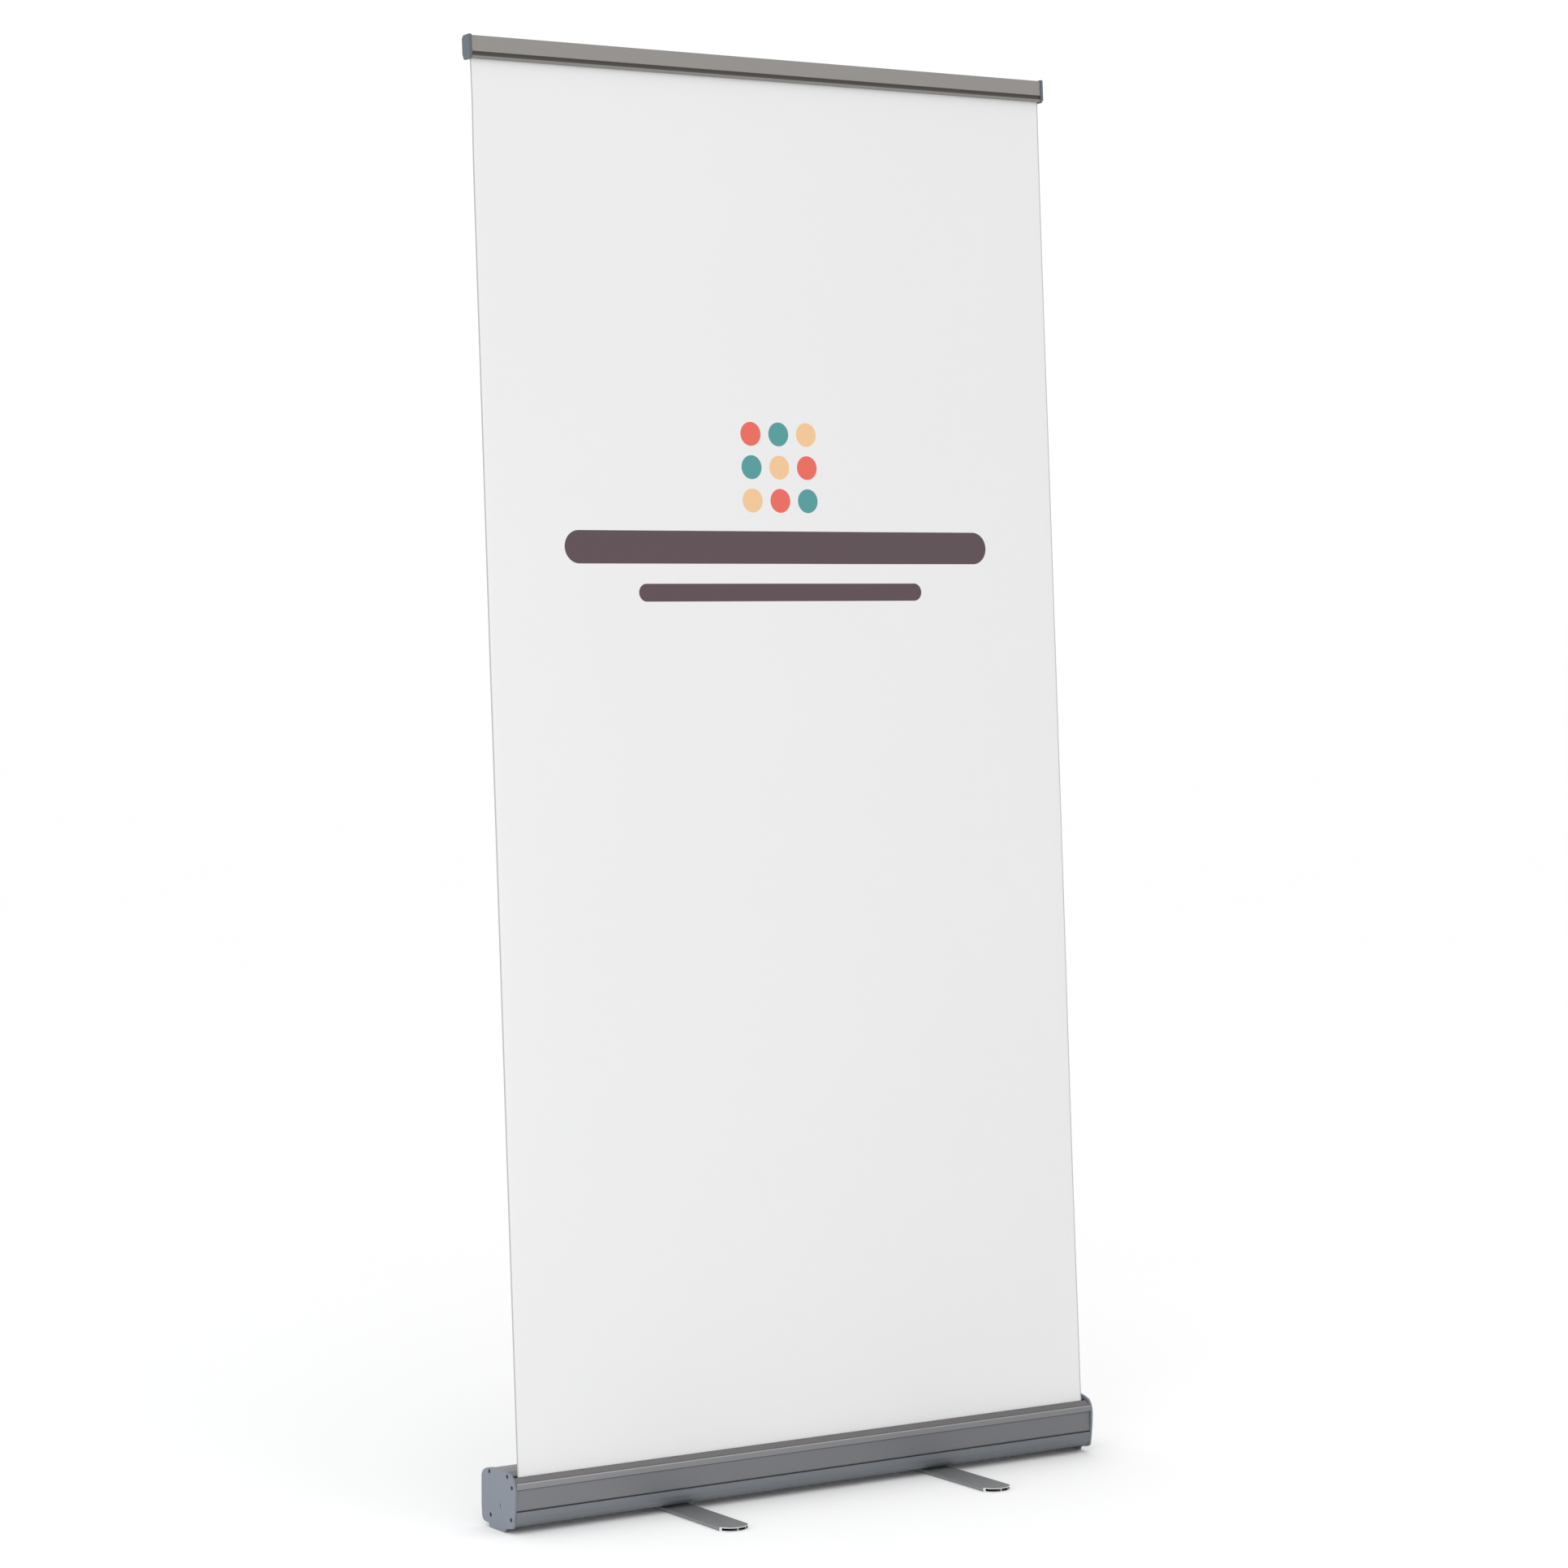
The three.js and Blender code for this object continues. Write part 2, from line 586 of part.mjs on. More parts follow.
function railBack() {
  const front = RAIL_FRONT + RAIL_WALL + GAP + 1.6;
  const wall = RAIL_REAR - RAIL_WALL;
  const grip = BANNER_THICKNESS / 2 + GAP;
  const channel = RAIL_REAR + HOOK_CHANNEL;
  const lip = channel + HOOK_LIP;
  const channelTop = hookChannelTop;
  return [
    [grip, railBottom],
    [RAIL_REAR, railBottom],
    [RAIL_REAR, channelTop],
    [channel, channelTop],
    [channel, channelTop - HOOK_LIP_DROP],
    [lip, channelTop - HOOK_LIP_DROP],
    [lip, channelTop + HOOK_LIP],
    [RAIL_REAR, channelTop + HOOK_LIP + 3],
    [RAIL_REAR, railTop],
    [front, railTop],
    [front, railTop - RAIL_WALL],
    [wall, railTop - RAIL_WALL],
    [wall, railBottom + JAW_HEIGHT],
    [grip, railBottom + JAW_HEIGHT],
  ];
}

function railCap(side) {
  const low = [RAIL_FRONT - CAP_PROUD, railBottom - CAP_PROUD];
  const high = [RAIL_REAR + HOOK_CHANNEL + HOOK_LIP, railTop + CAP_PROUD];
  const face = alongX(
    [
      [low[0] + CAP_CHAMFER, low[1]],
      [high[0] - CAP_CHAMFER, low[1]],
      [high[0], low[1] + 2 * CAP_CHAMFER],
      [high[0], high[1] - CAP_CHAMFER],
      [high[0] - CAP_CHAMFER, high[1]],
      [low[0] + 1, high[1]],
      [low[0], high[1] - 1],
      [low[0], low[1] + CAP_CHAMFER],
    ],
    capInnerX,
    capInnerX + CAP_THICKNESS,
  );
  const plugFront = BANNER_THICKNESS / 2 + GAP;
  const plug = box(
    [
      BANNER_WIDTH / 2 - CAP_PLUG_LENGTH,
      plugFront,
      railBottom + RAIL_HEIGHT / 2 + GAP,
    ],
    [capInnerX + 1, RAIL_REAR - RAIL_WALL - GAP, railTop - RAIL_WALL - GAP],
  );
  const body = join(face, plug);
  return side > 0 ? body : body.mirror([1, 0, 0]);
}

// The head on the upper tube, with the tongue that the rail hooks over.
function poleHead(top) {
  const [, , radius] = poleRadii;
  const sleeve = turned([
    [0, top + GAP],
    [radius + GAP, top + GAP],
    [radius + GAP, top - HEAD_HEIGHT],
    [headRadius, top - HEAD_HEIGHT],
    [headRadius, top + 4],
    [headRadius - 1.5, top + 5.5],
    [0, top + 5.5],
  ]).translate([0, POLE_BEHIND, 0]);
  const tongueTop = hookChannelTop - GAP;
  const armTop = hookChannelTop - HOOK_LIP_DROP - GAP;
  const tongueFront = RAIL_REAR + GAP;
  const tongueRear = RAIL_REAR + HOOK_CHANNEL - GAP;
  const side = HEAD_ARM_WIDTH / 2;
  const armRear = POLE_BEHIND - radius - GAP - HEAD_ARM_ROOT;
  const tongue = box([-side, tongueFront, armTop - 4], [side, tongueRear, tongueTop]);
  const arm = alongX(
    [
      [tongueFront, armTop - HEAD_ARM_HEIGHT / 2],
      [armRear, top - HEAD_HEIGHT + 1],
      [armRear, armTop],
      [tongueFront, armTop],
    ],
    -HEAD_ARM_WIDTH / 5,
    HEAD_ARM_WIDTH / 5,
  );
  const foot = box([-side, tongueFront, armTop - 4], [side, tongueRear + 3, armTop]);
  return join(sleeve, arm, foot, tongue);
}

function collar(lowerRadius, upperRadius, tubeTop) {
  const from = tubeTop - COLLAR_GRIP;
  const to = from + COLLAR_HEIGHT;
  return turned([
    [lowerRadius + GAP, from],
    [collarRadius - 1.5, from],
    [collarRadius, from + 1.5],
    [collarRadius, to - 8],
    [upperRadius + 3, to],
    [upperRadius + GAP, to],
    [upperRadius + GAP, tubeTop + GAP],
    [lowerRadius + GAP, tubeTop + GAP],
  ]).translate([0, POLE_BEHIND, 0]);
}

// The plastic guide at the lower end of a sliding tube.
function slideBush(radius, bottom) {
  const spigot = radius - POLE_WALL - GAP;
  return turned([
    [0, bottom - BUSH_HEAD],
    [radius, bottom - BUSH_HEAD],
    [radius, bottom - GAP],
    [spigot, bottom - GAP],
    [spigot, bottom - GAP + BUSH_LENGTH - BUSH_HEAD],
    [0, bottom - GAP + BUSH_LENGTH - BUSH_HEAD],
  ]).translate([0, POLE_BEHIND, 0]);
}

// The plug in the lower tube's foot.
function footPlug(radius) {
  const bottom = poleBottom - GAP - POLE_PLUG_FLANGE;
  const spigot = radius - POLE_WALL - GAP;
  return turned([
    [0, bottom],
    [radius, bottom],
    [radius, bottom + POLE_PLUG_FLANGE],
    [spigot, bottom + POLE_PLUG_FLANGE],
    [spigot, bottom + POLE_PLUG_LENGTH],
    [0, bottom + POLE_PLUG_LENGTH],
  ]).translate([0, POLE_BEHIND, 0]);
}

function socket() {
  const inner = POLE_RADIUS + GAP;
  const outer = inner + SOCKET_WALL;
  return turned([
    [0, -SOCKET_DEPTH],
    [outer, -SOCKET_DEPTH],
    [outer, SOCKET_TOP - SOCKET_FLANGE],
    [outer + 3, SOCKET_TOP - SOCKET_FLANGE],
    [outer + 3, SOCKET_TOP - 1],
    [outer + 2, SOCKET_TOP],
    [inner, SOCKET_TOP],
    [inner, -SOCKET_DEPTH + SOCKET_FLOOR],
    [0, -SOCKET_DEPTH + SOCKET_FLOOR],
  ]).translate([0, POLE_BEHIND, 0]);
}

function mast(root) {
  const group = new THREE.Group();
  group.position.z = slotHeight;
  group.rotation.x = -LEAN;
  root.add(group);

  const halfBanner = BANNER_WIDTH / 2;
  place(group, "banner_sheet", SHEET, alongX(bannerOutline(), -halfBanner, halfBanner));
  place(group, "rail_front", RAIL_ALUMINIUM, alongX(railFront(), -halfBanner, halfBanner));
  place(group, "rail_back", RAIL_ALUMINIUM, alongX(railBack(), -halfBanner, halfBanner));
  place(group, "rail_cap_left", CAP_PLASTIC, railCap(-1));
  place(group, "rail_cap_right", CAP_PLASTIC, railCap(1));

  const [lower, middle, upper] = poleRadii;
  const [lowerFrom, middleFrom, upperFrom] = poleRadii.map(
    (radius, i) => poleBottom + i * (tubeLength - POLE_OVERLAP),
  );
  const tube = (radius, from) =>
    pipe(radius, radius - POLE_WALL, from, from + tubeLength).translate([0, POLE_BEHIND, 0]);
  place(group, "pole_lower", POLE_ALUMINIUM, tube(lower, lowerFrom));
  place(group, "pole_middle", POLE_ALUMINIUM, tube(middle, middleFrom));
  place(group, "pole_upper", POLE_ALUMINIUM, tube(upper, upperFrom));
  place(group, "pole_socket", BLACK_PLASTIC, socket());
  place(group, "pole_foot_plug", BLACK_PLASTIC, footPlug(lower));
  place(group, "middle_slide_bush", NYLON, slideBush(middle, middleFrom));
  place(group, "upper_slide_bush", NYLON, slideBush(upper, upperFrom));
  place(group, "lock_collar_lower", BLACK_PLASTIC, collar(lower, middle, lowerFrom + tubeLength));
  place(group, "lock_collar_upper", BLACK_PLASTIC, collar(middle, upper, middleFrom + tubeLength));
  place(group, "pole_head", BLACK_PLASTIC, poleHead(poleTop));
}

// ---- feet ---------------------------------------------------------------------------------
function footSection() {
  const half = FOOT_WIDTH / 2;
  const round = 1.6;
  const shape = new THREE.Shape();
  shape.moveTo(-half + round, 0);
  shape.lineTo(half - round, 0);
  shape.quadraticCurveTo(half, 0, half, round);
  shape.lineTo(half, FOOT_HEIGHT - round);
  shape.quadraticCurveTo(half, FOOT_HEIGHT, half - round, FOOT_HEIGHT);
  shape.lineTo(-half + round, FOOT_HEIGHT);
  shape.quadraticCurveTo(-half, FOOT_HEIGHT, -half, FOOT_HEIGHT - round);
  shape.lineTo(-half, round);
  shape.quadraticCurveTo(-half, 0, -half + round, 0);
  return shape;
}

// The chambers between a foot's side walls and its webs, right through its length.
function footChambers() {
  const edges = [0, ...FOOT_WEBS, 1].map((share) => (share - 0.5) * FOOT_WIDTH);
  return edges.slice(1).map((edge, i) => {
    const low = edges[i] + (i === 0 ? FOOT_SIDE_WALL : FOOT_WALL / 2);
    const high = edge - (i === edges.length - 2 ? FOOT_SIDE_WALL : FOOT_WALL / 2);
    const ends = [-FOOT_REACH - 1, FOOT_TAIL + 2];
    return box([low, ends[0], FOOT_WALL], [high, ends[1], FOOT_HEIGHT - FOOT_WALL]);
  });
}

// A foot about its own pivot, pointing to -Y.
function foot() {
  const length = FOOT_REACH + FOOT_TAIL;
  const settings = { depth: length, bevelEnabled: false, steps: 1, curveSegments: 3 };
  const bar = new THREE.ExtrudeGeometry(footSection(), settings)
    .rotateX(Math.PI / 2)
    .translate(0, FOOT_TAIL, 0);
  const half = FOOT_WIDTH / 2;
  const plan = new THREE.Shape();
  plan.moveTo(half + 1, FOOT_TAIL + 1);
  plan.lineTo(-half - 1, FOOT_TAIL + 1);
  plan.lineTo(-half, FOOT_TIP - FOOT_REACH);
  plan.absellipse(0, FOOT_TIP - FOOT_REACH, half, FOOT_TIP, Math.PI, Math.PI * 2);
  plan.lineTo(half + 1, FOOT_TAIL + 1);
  const cutter = alongZ(plan, -1, FOOT_HEIGHT + 1, 16);
  const access = rod(BOLT_ACCESS_RADIUS, -1, FOOT_HEIGHT - FOOT_WALL, 20);
  const boltHole = rod(BOLT_RADIUS + GAP, 0, FOOT_HEIGHT + 1, 16);
  return cut(solid(bar).intersect(cutter), ...footChambers(), access, boltHole);
}

function feet(root) {
  for (const [side, word] of [[-1, "left"], [1, "right"]]) {
    const group = new THREE.Group();
    group.position.set(side * FOOT_PLACE, footPivotY, 0);
    root.add(group);
    place(group, "foot_" + word, FOOT_ALUMINIUM, foot());
    const headTop = FOOT_HEIGHT - FOOT_WALL - GAP;
    const bolt = turned(
      [
        [0, headTop - BOLT_HEAD_HEIGHT],
        [BOLT_HEAD_RADIUS - 1, headTop - BOLT_HEAD_HEIGHT],
        [BOLT_HEAD_RADIUS, headTop - BOLT_HEAD_HEIGHT + 1],
        [BOLT_HEAD_RADIUS, headTop],
        [BOLT_RADIUS, headTop],
        [BOLT_RADIUS, footNutTop],
        [0, footNutTop],
      ],
      16,
    );
    place(group, `foot_${word}_bolt`, STEEL, bolt);
    const washer = pipe(WASHER_RADIUS, BOLT_RADIUS + GAP, FOOT_HEIGHT + GAP, UNDERSIDE - GAP);
    place(group, `foot_${word}_washer`, NYLON, washer);
    const nutFrom = UNDERSIDE + WALL + GAP;
    const hexagon = rod(NUT_RADIUS, nutFrom, nutFrom + NUT_HEIGHT, 6);
    const nut = cut(hexagon, rod(BOLT_RADIUS + GAP, nutFrom - 1, nutFrom + NUT_HEIGHT + 1, 16));
    place(group, `foot_${word}_nut`, STEEL, nut);
  }
}

// ---- the whole stand ----------------------------------------------------------------------
const stand = new THREE.Group();
cassette(stand);
roller(stand);
mast(stand);
feet(stand);

// The origin is on the floor, below the middle of the whole stand.
const bounds = new THREE.Box3().setFromObject(stand);
stand.position.y = -(bounds.min.y + bounds.max.y) / 2;
stand.updateMatrixWorld(true);

export default stand;
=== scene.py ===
"""A roll-up banner stand: cassette, spring roller, banner, clamp rail, telescopic pole and feet.

Lengths are metres, apart from outlines, which are written in millimetres. Cassette outlines hold
(y, z), with y behind the banner where it leaves the slot and z above the floor. Mast outlines
hold (y, z) in the leaning frame, with z measured up the banner from the slot.
"""

import json
import math

import bpy
import numpy as np
from bpy.props import FloatProperty, FloatVectorProperty, IntProperty, PointerProperty
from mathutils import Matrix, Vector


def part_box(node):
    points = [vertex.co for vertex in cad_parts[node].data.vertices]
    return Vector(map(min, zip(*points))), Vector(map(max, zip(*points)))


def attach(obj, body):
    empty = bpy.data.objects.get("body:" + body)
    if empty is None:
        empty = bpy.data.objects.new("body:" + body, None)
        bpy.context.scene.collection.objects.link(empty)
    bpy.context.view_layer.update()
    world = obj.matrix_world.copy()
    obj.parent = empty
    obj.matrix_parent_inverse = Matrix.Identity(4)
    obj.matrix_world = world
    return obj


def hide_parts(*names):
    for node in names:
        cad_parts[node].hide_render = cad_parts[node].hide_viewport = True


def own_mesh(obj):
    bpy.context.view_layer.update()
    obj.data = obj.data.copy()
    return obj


bl_info = {
    "name": "Roll-up Banner Stand",
    "version": (1, 0, 0),
    "blender": (4, 5, 0),
    "location": "View3D > Sidebar > Banner Stand",
    "description": "Builds a roll-up banner stand around its fixed frame",
    "category": "Add Mesh",
}

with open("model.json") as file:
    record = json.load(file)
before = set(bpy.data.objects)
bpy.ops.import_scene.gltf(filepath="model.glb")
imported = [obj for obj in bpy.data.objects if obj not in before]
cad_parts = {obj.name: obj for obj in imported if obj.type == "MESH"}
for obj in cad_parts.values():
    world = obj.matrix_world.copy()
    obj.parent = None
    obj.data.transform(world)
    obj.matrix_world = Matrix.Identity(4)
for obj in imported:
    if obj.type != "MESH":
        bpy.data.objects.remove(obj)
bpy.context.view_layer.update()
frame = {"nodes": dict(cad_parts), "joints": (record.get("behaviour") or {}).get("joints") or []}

MM = 0.001


def node_box(node):
    """A CAD node's lowest and highest corners."""
    return [np.array(corner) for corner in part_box(node)]


PLATE_LOW, PLATE_HIGH = node_box("end_plate_right")
SHELL_LOW, SHELL_HIGH = node_box("cassette_housing")
SHEET_LOW, SHEET_HIGH = node_box("banner_sheet")
ROLLER_LOW, ROLLER_HIGH = node_box("roller_tube")
SLIDE = next(joint for joint in frame["joints"] if joint["name"] == "banner_height")
TRAVEL = -min(SLIDE["range_m"])
SIDES = (("left", -1), ("right", 1))

# Directions: upright, along the cassette, and up and behind the leaning banner.
UPRIGHT = (0, 0, 1)
ACROSS = np.array([1.0, 0.0, 0.0])
UP = np.array(SLIDE["axis"], float)
BACK = np.array([0.0, UP[2], -UP[1]])
LEAN = math.atan2(UP[1], UP[2])

# The slot's distance behind the end plates' front and below their top, and the pole's distance
# behind the banner.
SLOT_BEHIND, SLOT_BELOW, POLE_BEHIND = 14 * MM, 8.6 * MM, 46 * MM

# Places: where the banner leaves the slot, the roller's middle, and the foot of the pole's axis.
SLOT = np.array([0.0, PLATE_LOW[1] + SLOT_BEHIND, PLATE_HIGH[2] - SLOT_BELOW])
ROLLER = (ROLLER_LOW + ROLLER_HIGH) / 2
POLE = SLOT + POLE_BEHIND * BACK

# Edges that turn by more than this many degrees look sharp: on most pieces, and on pieces with
# rims that are rounded in a few steps.
SHARP, SQUARE = 34, 50
# How much of the banner the rail holds, in metres.
CLAMPED = 0.016
# The pole's three tubes: length, overlap and the lowest one's foot, in millimetres up the mast.
TUBE_LENGTH, TUBE_OVERLAP, TUBE_BOTTOM = 2150 / 3, 60.0, -11.4
# The size of a metal's die lines for each axis, where they run along X, Y or Z, in metres.
ALONG_X, ALONG_Y, ALONG_Z = (0.35, 0.0009, 0.0009), (0.0009, 0.35, 0.0009), (0.0009, 0.0009, 0.35)
# A foot's rounding: of its long edges, and how deep its end is, in metres.
FOOT_EASE, FOOT_ROUND = 0.0016, 0.020
# The banner's UV map, and the materials by name once they are made.
FILM_CHART = "film"
MATERIALS = {}

# Bands of tone up the cassette and the rail: from, to, deepest and tint, in millimetres. Some are
# painted light: on the cassette, painted shade in the groove (32.6 to 34.8), a painted shadow under
# the lip (62.9 to 64.6) and a painted highlight along the lip's top edge (72.3 to 73.6); on the
# rail, painted shade in the groove (2003.4 to 2009.6).
SHELL_TONE_AND_LIGHT_BANDS = (
    (0.0, 32.6, 90.0, (0.96, 1.02, 1.06)),
    # Painted shade in the groove.
    (32.6, 34.8, -8.0, (0.30, 0.32, 0.34)),
    # Painted shadow under the lip.
    (62.9, 64.6, -9.0, (0.62, 0.62, 0.64)),
    (64.6, 72.3, -9.5, (1.26, 1.24, 1.20)),
    # Painted highlight along the lip's top edge.
    (72.3, 73.6, -9.5, (1.95, 1.92, 1.88)),
    (73.6, 75.0, -1.5, (0.72, 0.68, 0.66)),
    (75.0, 80.5, -1.5, (0.92, 0.86, 0.83)),
)
RAIL_TONE_AND_SHADE_BANDS = (
    (1999.0, 2003.4, 2.0, (0.80, 0.82, 0.82)),
    # Painted shade in the rail's groove.
    (2003.4, 2009.6, 2.0, (0.26, 0.24, 0.23)),
)
# Screws of an end plate, and the cassette's underside, rear and arched cover.
SCREWS = ((58.5, 80.2), (7.7, 81.2), (-5.3, 67.3), (54.9, 18.6), (-3.1, 21.5))
SHELL_REAR = (
    (-4.9, 11), (13, 10), (71.6, 10), (78.1, 14), (80.6, 22), (80.6, 68.6), (77.1, 77.1),
    (66.6, 82.9), (50.6, 86.8), (32.6, 87.6), (14.5, 86.4), (4.5, 82),
)


def tube_top(i):
    """The upper end of the pole's tube number i, in millimetres up the mast."""
    return TUBE_BOTTOM + TUBE_LENGTH + i * (TUBE_LENGTH - TUBE_OVERLAP)


# ---- sizes and colours ---------------------------------------------------------------------
def length(name, description, default, **limits):
    """A size that a user may change, in metres."""
    return FloatProperty(
        name=name, description=description, default=default, subtype="DISTANCE",
        unit="LENGTH", precision=4, **limits,
    )


def colour(name, description, default):
    """A colour that a user may change."""
    return FloatVectorProperty(
        name=name, description=description, default=default, subtype="COLOR", size=3,
        min=0.0, max=1.0,
    )


class StandSizes(bpy.types.PropertyGroup):
    """Sizes that can change without leaving the frame."""

    banner_width: length("Banner width", "Width of the film", float(SHEET_HIGH[0] - SHEET_LOW[0]))
    banner_height: length("Banner height", "Slot to rail, along the lean", 2.0)
    film: length("Film thickness", "Thickness of the banner's film", 0.0004, min=0.0001, max=0.0006)
    wave: length("Wave height", "Depth of the film's faint waves", 0.0014, min=0.0, max=0.004)
    edge_curl: length("Edge curl", "How far the film's side edges curl back", 0.0011, max=0.003)
    wall: length("Cassette wall", "Thickness of the cassette's wall", 0.002, min=0.001, max=0.003)
    rim: length("Plate rim", "Rounding of the end plates' outer edge", 0.0008, max=0.0015)
    grip_depth: length("Grip depth", "Depth of the lock collars' grooves", 0.0006, max=0.0012)
    grip_grooves: IntProperty(
        name="Grip grooves", description="Grooves round each lock collar", default=20, min=6, max=40
    )


class StandColours(bpy.types.PropertyGroup):
    """Colours of the stand's finishes."""

    shell: colour("Cassette", "Anodised cassette", (0.190, 0.194, 0.206))
    plate: colour("End plates", "Painted end plates", (0.168, 0.190, 0.221))
    rail: colour("Rail", "Anodised clamp rail", (0.275, 0.263, 0.248))
    cap: colour("Rail caps", "Moulded rail caps", (0.090, 0.108, 0.130))
    pole: colour("Pole", "Anodised pole tubes", (0.420, 0.430, 0.440))
    foot: colour("Feet", "Anodised feet", (0.255, 0.262, 0.270))
    sawn: colour("Sawn edges", "Bare aluminium where a foot is cut", (0.700, 0.705, 0.710))
    black: colour("Black plastic", "Pole socket, collars and head", (0.020, 0.021, 0.023))
    nylon: colour("Nylon", "Slide bushes and washers", (0.690, 0.670, 0.620))
    steel: colour("Steel", "Screws, shaft and nuts", (0.300, 0.305, 0.310))
    screw: colour("Plate screws", "Blackened screws", (0.060, 0.062, 0.066))
    film: colour("Film", "White banner film", (0.735, 0.735, 0.735))
    film_back: colour("Film back", "Grey light-stop back", (0.330, 0.335, 0.340))
    print_dark: colour("Dark print", "Plain bars", (0.088, 0.058, 0.066))
    print_sand: colour("Sand print", "First disc colour", (0.780, 0.500, 0.265))
    print_coral: colour("Coral print", "Second disc colour", (0.720, 0.125, 0.090))
    print_teal: colour("Teal print", "Third disc colour", (0.072, 0.285, 0.288))


# ---- shapes --------------------------------------------------------------------------------
def rounded(outline, radius, steps=5):
    """A closed outline with its corners eased.

    Each corner P gives way to the curve (1-t)^2 A + 2t(1-t) P + t^2 B, where A and B lie on its
    two sides at radius / tan(half the corner's angle) from P, and at most 0.45 of the side.
    """
    corner = np.asarray(outline, float)
    size = np.broadcast_to(np.asarray(radius, float), len(corner))[:, None]
    before, after = np.roll(corner, 1, 0) - corner, np.roll(corner, -1, 0) - corner
    shorter = np.minimum(
        np.linalg.norm(before, axis=1, keepdims=True), np.linalg.norm(after, axis=1, keepdims=True)
    )
    before /= np.linalg.norm(before, axis=1, keepdims=True)
    after /= np.linalg.norm(after, axis=1, keepdims=True)
    half = np.arccos(np.clip((before * after).sum(1), -1, 1))[:, None] / 2
    reach = np.minimum(size / np.tan(half), 0.45 * shorter)
    t = np.linspace(0, 1, steps + 1)[None, :, None]
    start, end = (corner + before * reach)[:, None], (corner + after * reach)[:, None]
    curve = (1 - t) ** 2 * start + 2 * t * (1 - t) * corner[:, None] + t**2 * end
    points = curve.reshape(-1, 2)
    return points[np.linalg.norm(points - np.roll(points, 1, 0), axis=1) > 1e-5]


def arc(start, control, end, steps=14):
    """The curve (1-t)^2 start + 2t(1-t) control + t^2 end, without its last point."""
    t = np.linspace(0, 1, steps, endpoint=False)[:, None]
    start, control, end = (np.array(p, float) for p in (start, control, end))
    return (1 - t) ** 2 * start + 2 * t * (1 - t) * control + t**2 * end


def inside(path, thickness):
    """An open path moved to its left by a thickness, along the mean of each corner's normals."""
    step = np.diff(path, axis=0)
    step /= np.linalg.norm(step, axis=1, keepdims=True)
    into, out = np.vstack((step[:1], step)), np.vstack((step, step[-1:]))
    along = into + out
    along /= np.linalg.norm(along, axis=1, keepdims=True)
    reach = thickness / np.maximum((along * out).sum(1), 0.5)[:, None]
    return path + np.stack((-along[:, 1], along[:, 0]), 1) * reach


def inset(outline, distance):
    """A closed outline moved inwards, each point along the mean of its two sides' normals."""
    side = np.roll(outline, -1, 0) - outline
    side /= np.linalg.norm(side, axis=1, keepdims=True)
    along = side + np.roll(side, 1, 0)
    along /= np.linalg.norm(along, axis=1, keepdims=True)
    reach = distance / np.maximum((along * side).sum(1), 0.6)[:, None]
    x, y = outline.T
    turn = np.sign(x @ np.roll(y, -1) - y @ np.roll(x, -1))
    return outline + turn * np.stack((-along[:, 1], along[:, 0]), 1) * reach


def quads(rows, columns, wrap_rows=False, wrap_columns=False):
    """The faces of a grid of points stored row by row, each from its four neighbours."""
    i, j = np.meshgrid(
        np.arange(rows - (not wrap_rows)), np.arange(columns - (not wrap_columns)), indexing="ij"
    )
    a, b = i * columns + j, i * columns + (j + 1) % columns
    c, d = (i + 1) % rows * columns + (j + 1) % columns, (i + 1) % rows * columns + j
    return np.stack((a, b, c, d), -1).reshape(-1, 4)


def piece(name, points, faces, sharp=SHARP):
    """A closed mesh from its points and faces, with faces turned outwards and sharp edges kept.

    The sum of a . (b x c) over its triangles is six times its volume, and its sign says which
    way the faces point.
    """
    mesh = bpy.data.meshes.new(name)
    mesh.from_pydata(np.reshape(points, (-1, 3)), [], faces)
    mesh.calc_loop_triangles()
    corners = np.empty(len(mesh.loop_triangles) * 3, np.int32)
    mesh.loop_triangles.foreach_get("vertices", corners)
    a, b, c = np.reshape(points, (-1, 3))[corners.reshape(-1, 3)].transpose(1, 0, 2)
    if np.einsum("ij,ij->", a, np.cross(b, c)) < 0:
        mesh.flip_normals()
    made = bpy.data.objects.new(name, mesh)
    bpy.context.scene.collection.objects.link(made)
    shade(made, sharp)
    return made


def shade(made, sharp=SHARP):
    """Smooth shading up to an angle, with faces square to X left flat."""
    mesh = made.data
    mesh.shade_smooth()
    mesh.set_sharp_from_angle(angle=math.radians(sharp))
    normal = np.empty(len(mesh.polygons) * 3, np.float32)
    mesh.polygons.foreach_get("normal", normal)
    mesh.polygons.foreach_set("use_smooth", np.abs(normal[::3]) < 0.9999)


def cassette_points(outline, x):
    """A cassette outline in millimetres, at a place along X: shape (points, 3)."""
    outline = np.asarray(outline, float) * MM
    return np.column_stack((np.full(len(outline), x), SLOT[1] + outline[:, 0], outline[:, 1]))


def mast_points(outline, x):
    """A mast outline in millimetres, at a place along X: slot + x across + y back + z up."""
    outline = np.asarray(outline, float) * MM
    return SLOT + x * ACROSS + outline[:, :1] * BACK + outline[:, 1:] * UP


def loft(name, sections, sharp=SHARP):
    """A solid through rings of equally many points, each joined to the next, with flat ends."""
    points = np.stack(sections)
    rings, count = points.shape[:2]
    last = (rings - 1) * count
    ends = [list(range(count))[::-1], list(range(last, last + count))]
    return piece(name, points, quads(rings, count, wrap_columns=True).tolist() + ends, sharp)


def bar(name, outline, low, high, place=cassette_points, sharp=SHARP):
    """A closed outline carried straight from low to high, with flat ends."""
    return loft(name, [place(outline, x) for x in (low, high)], sharp)


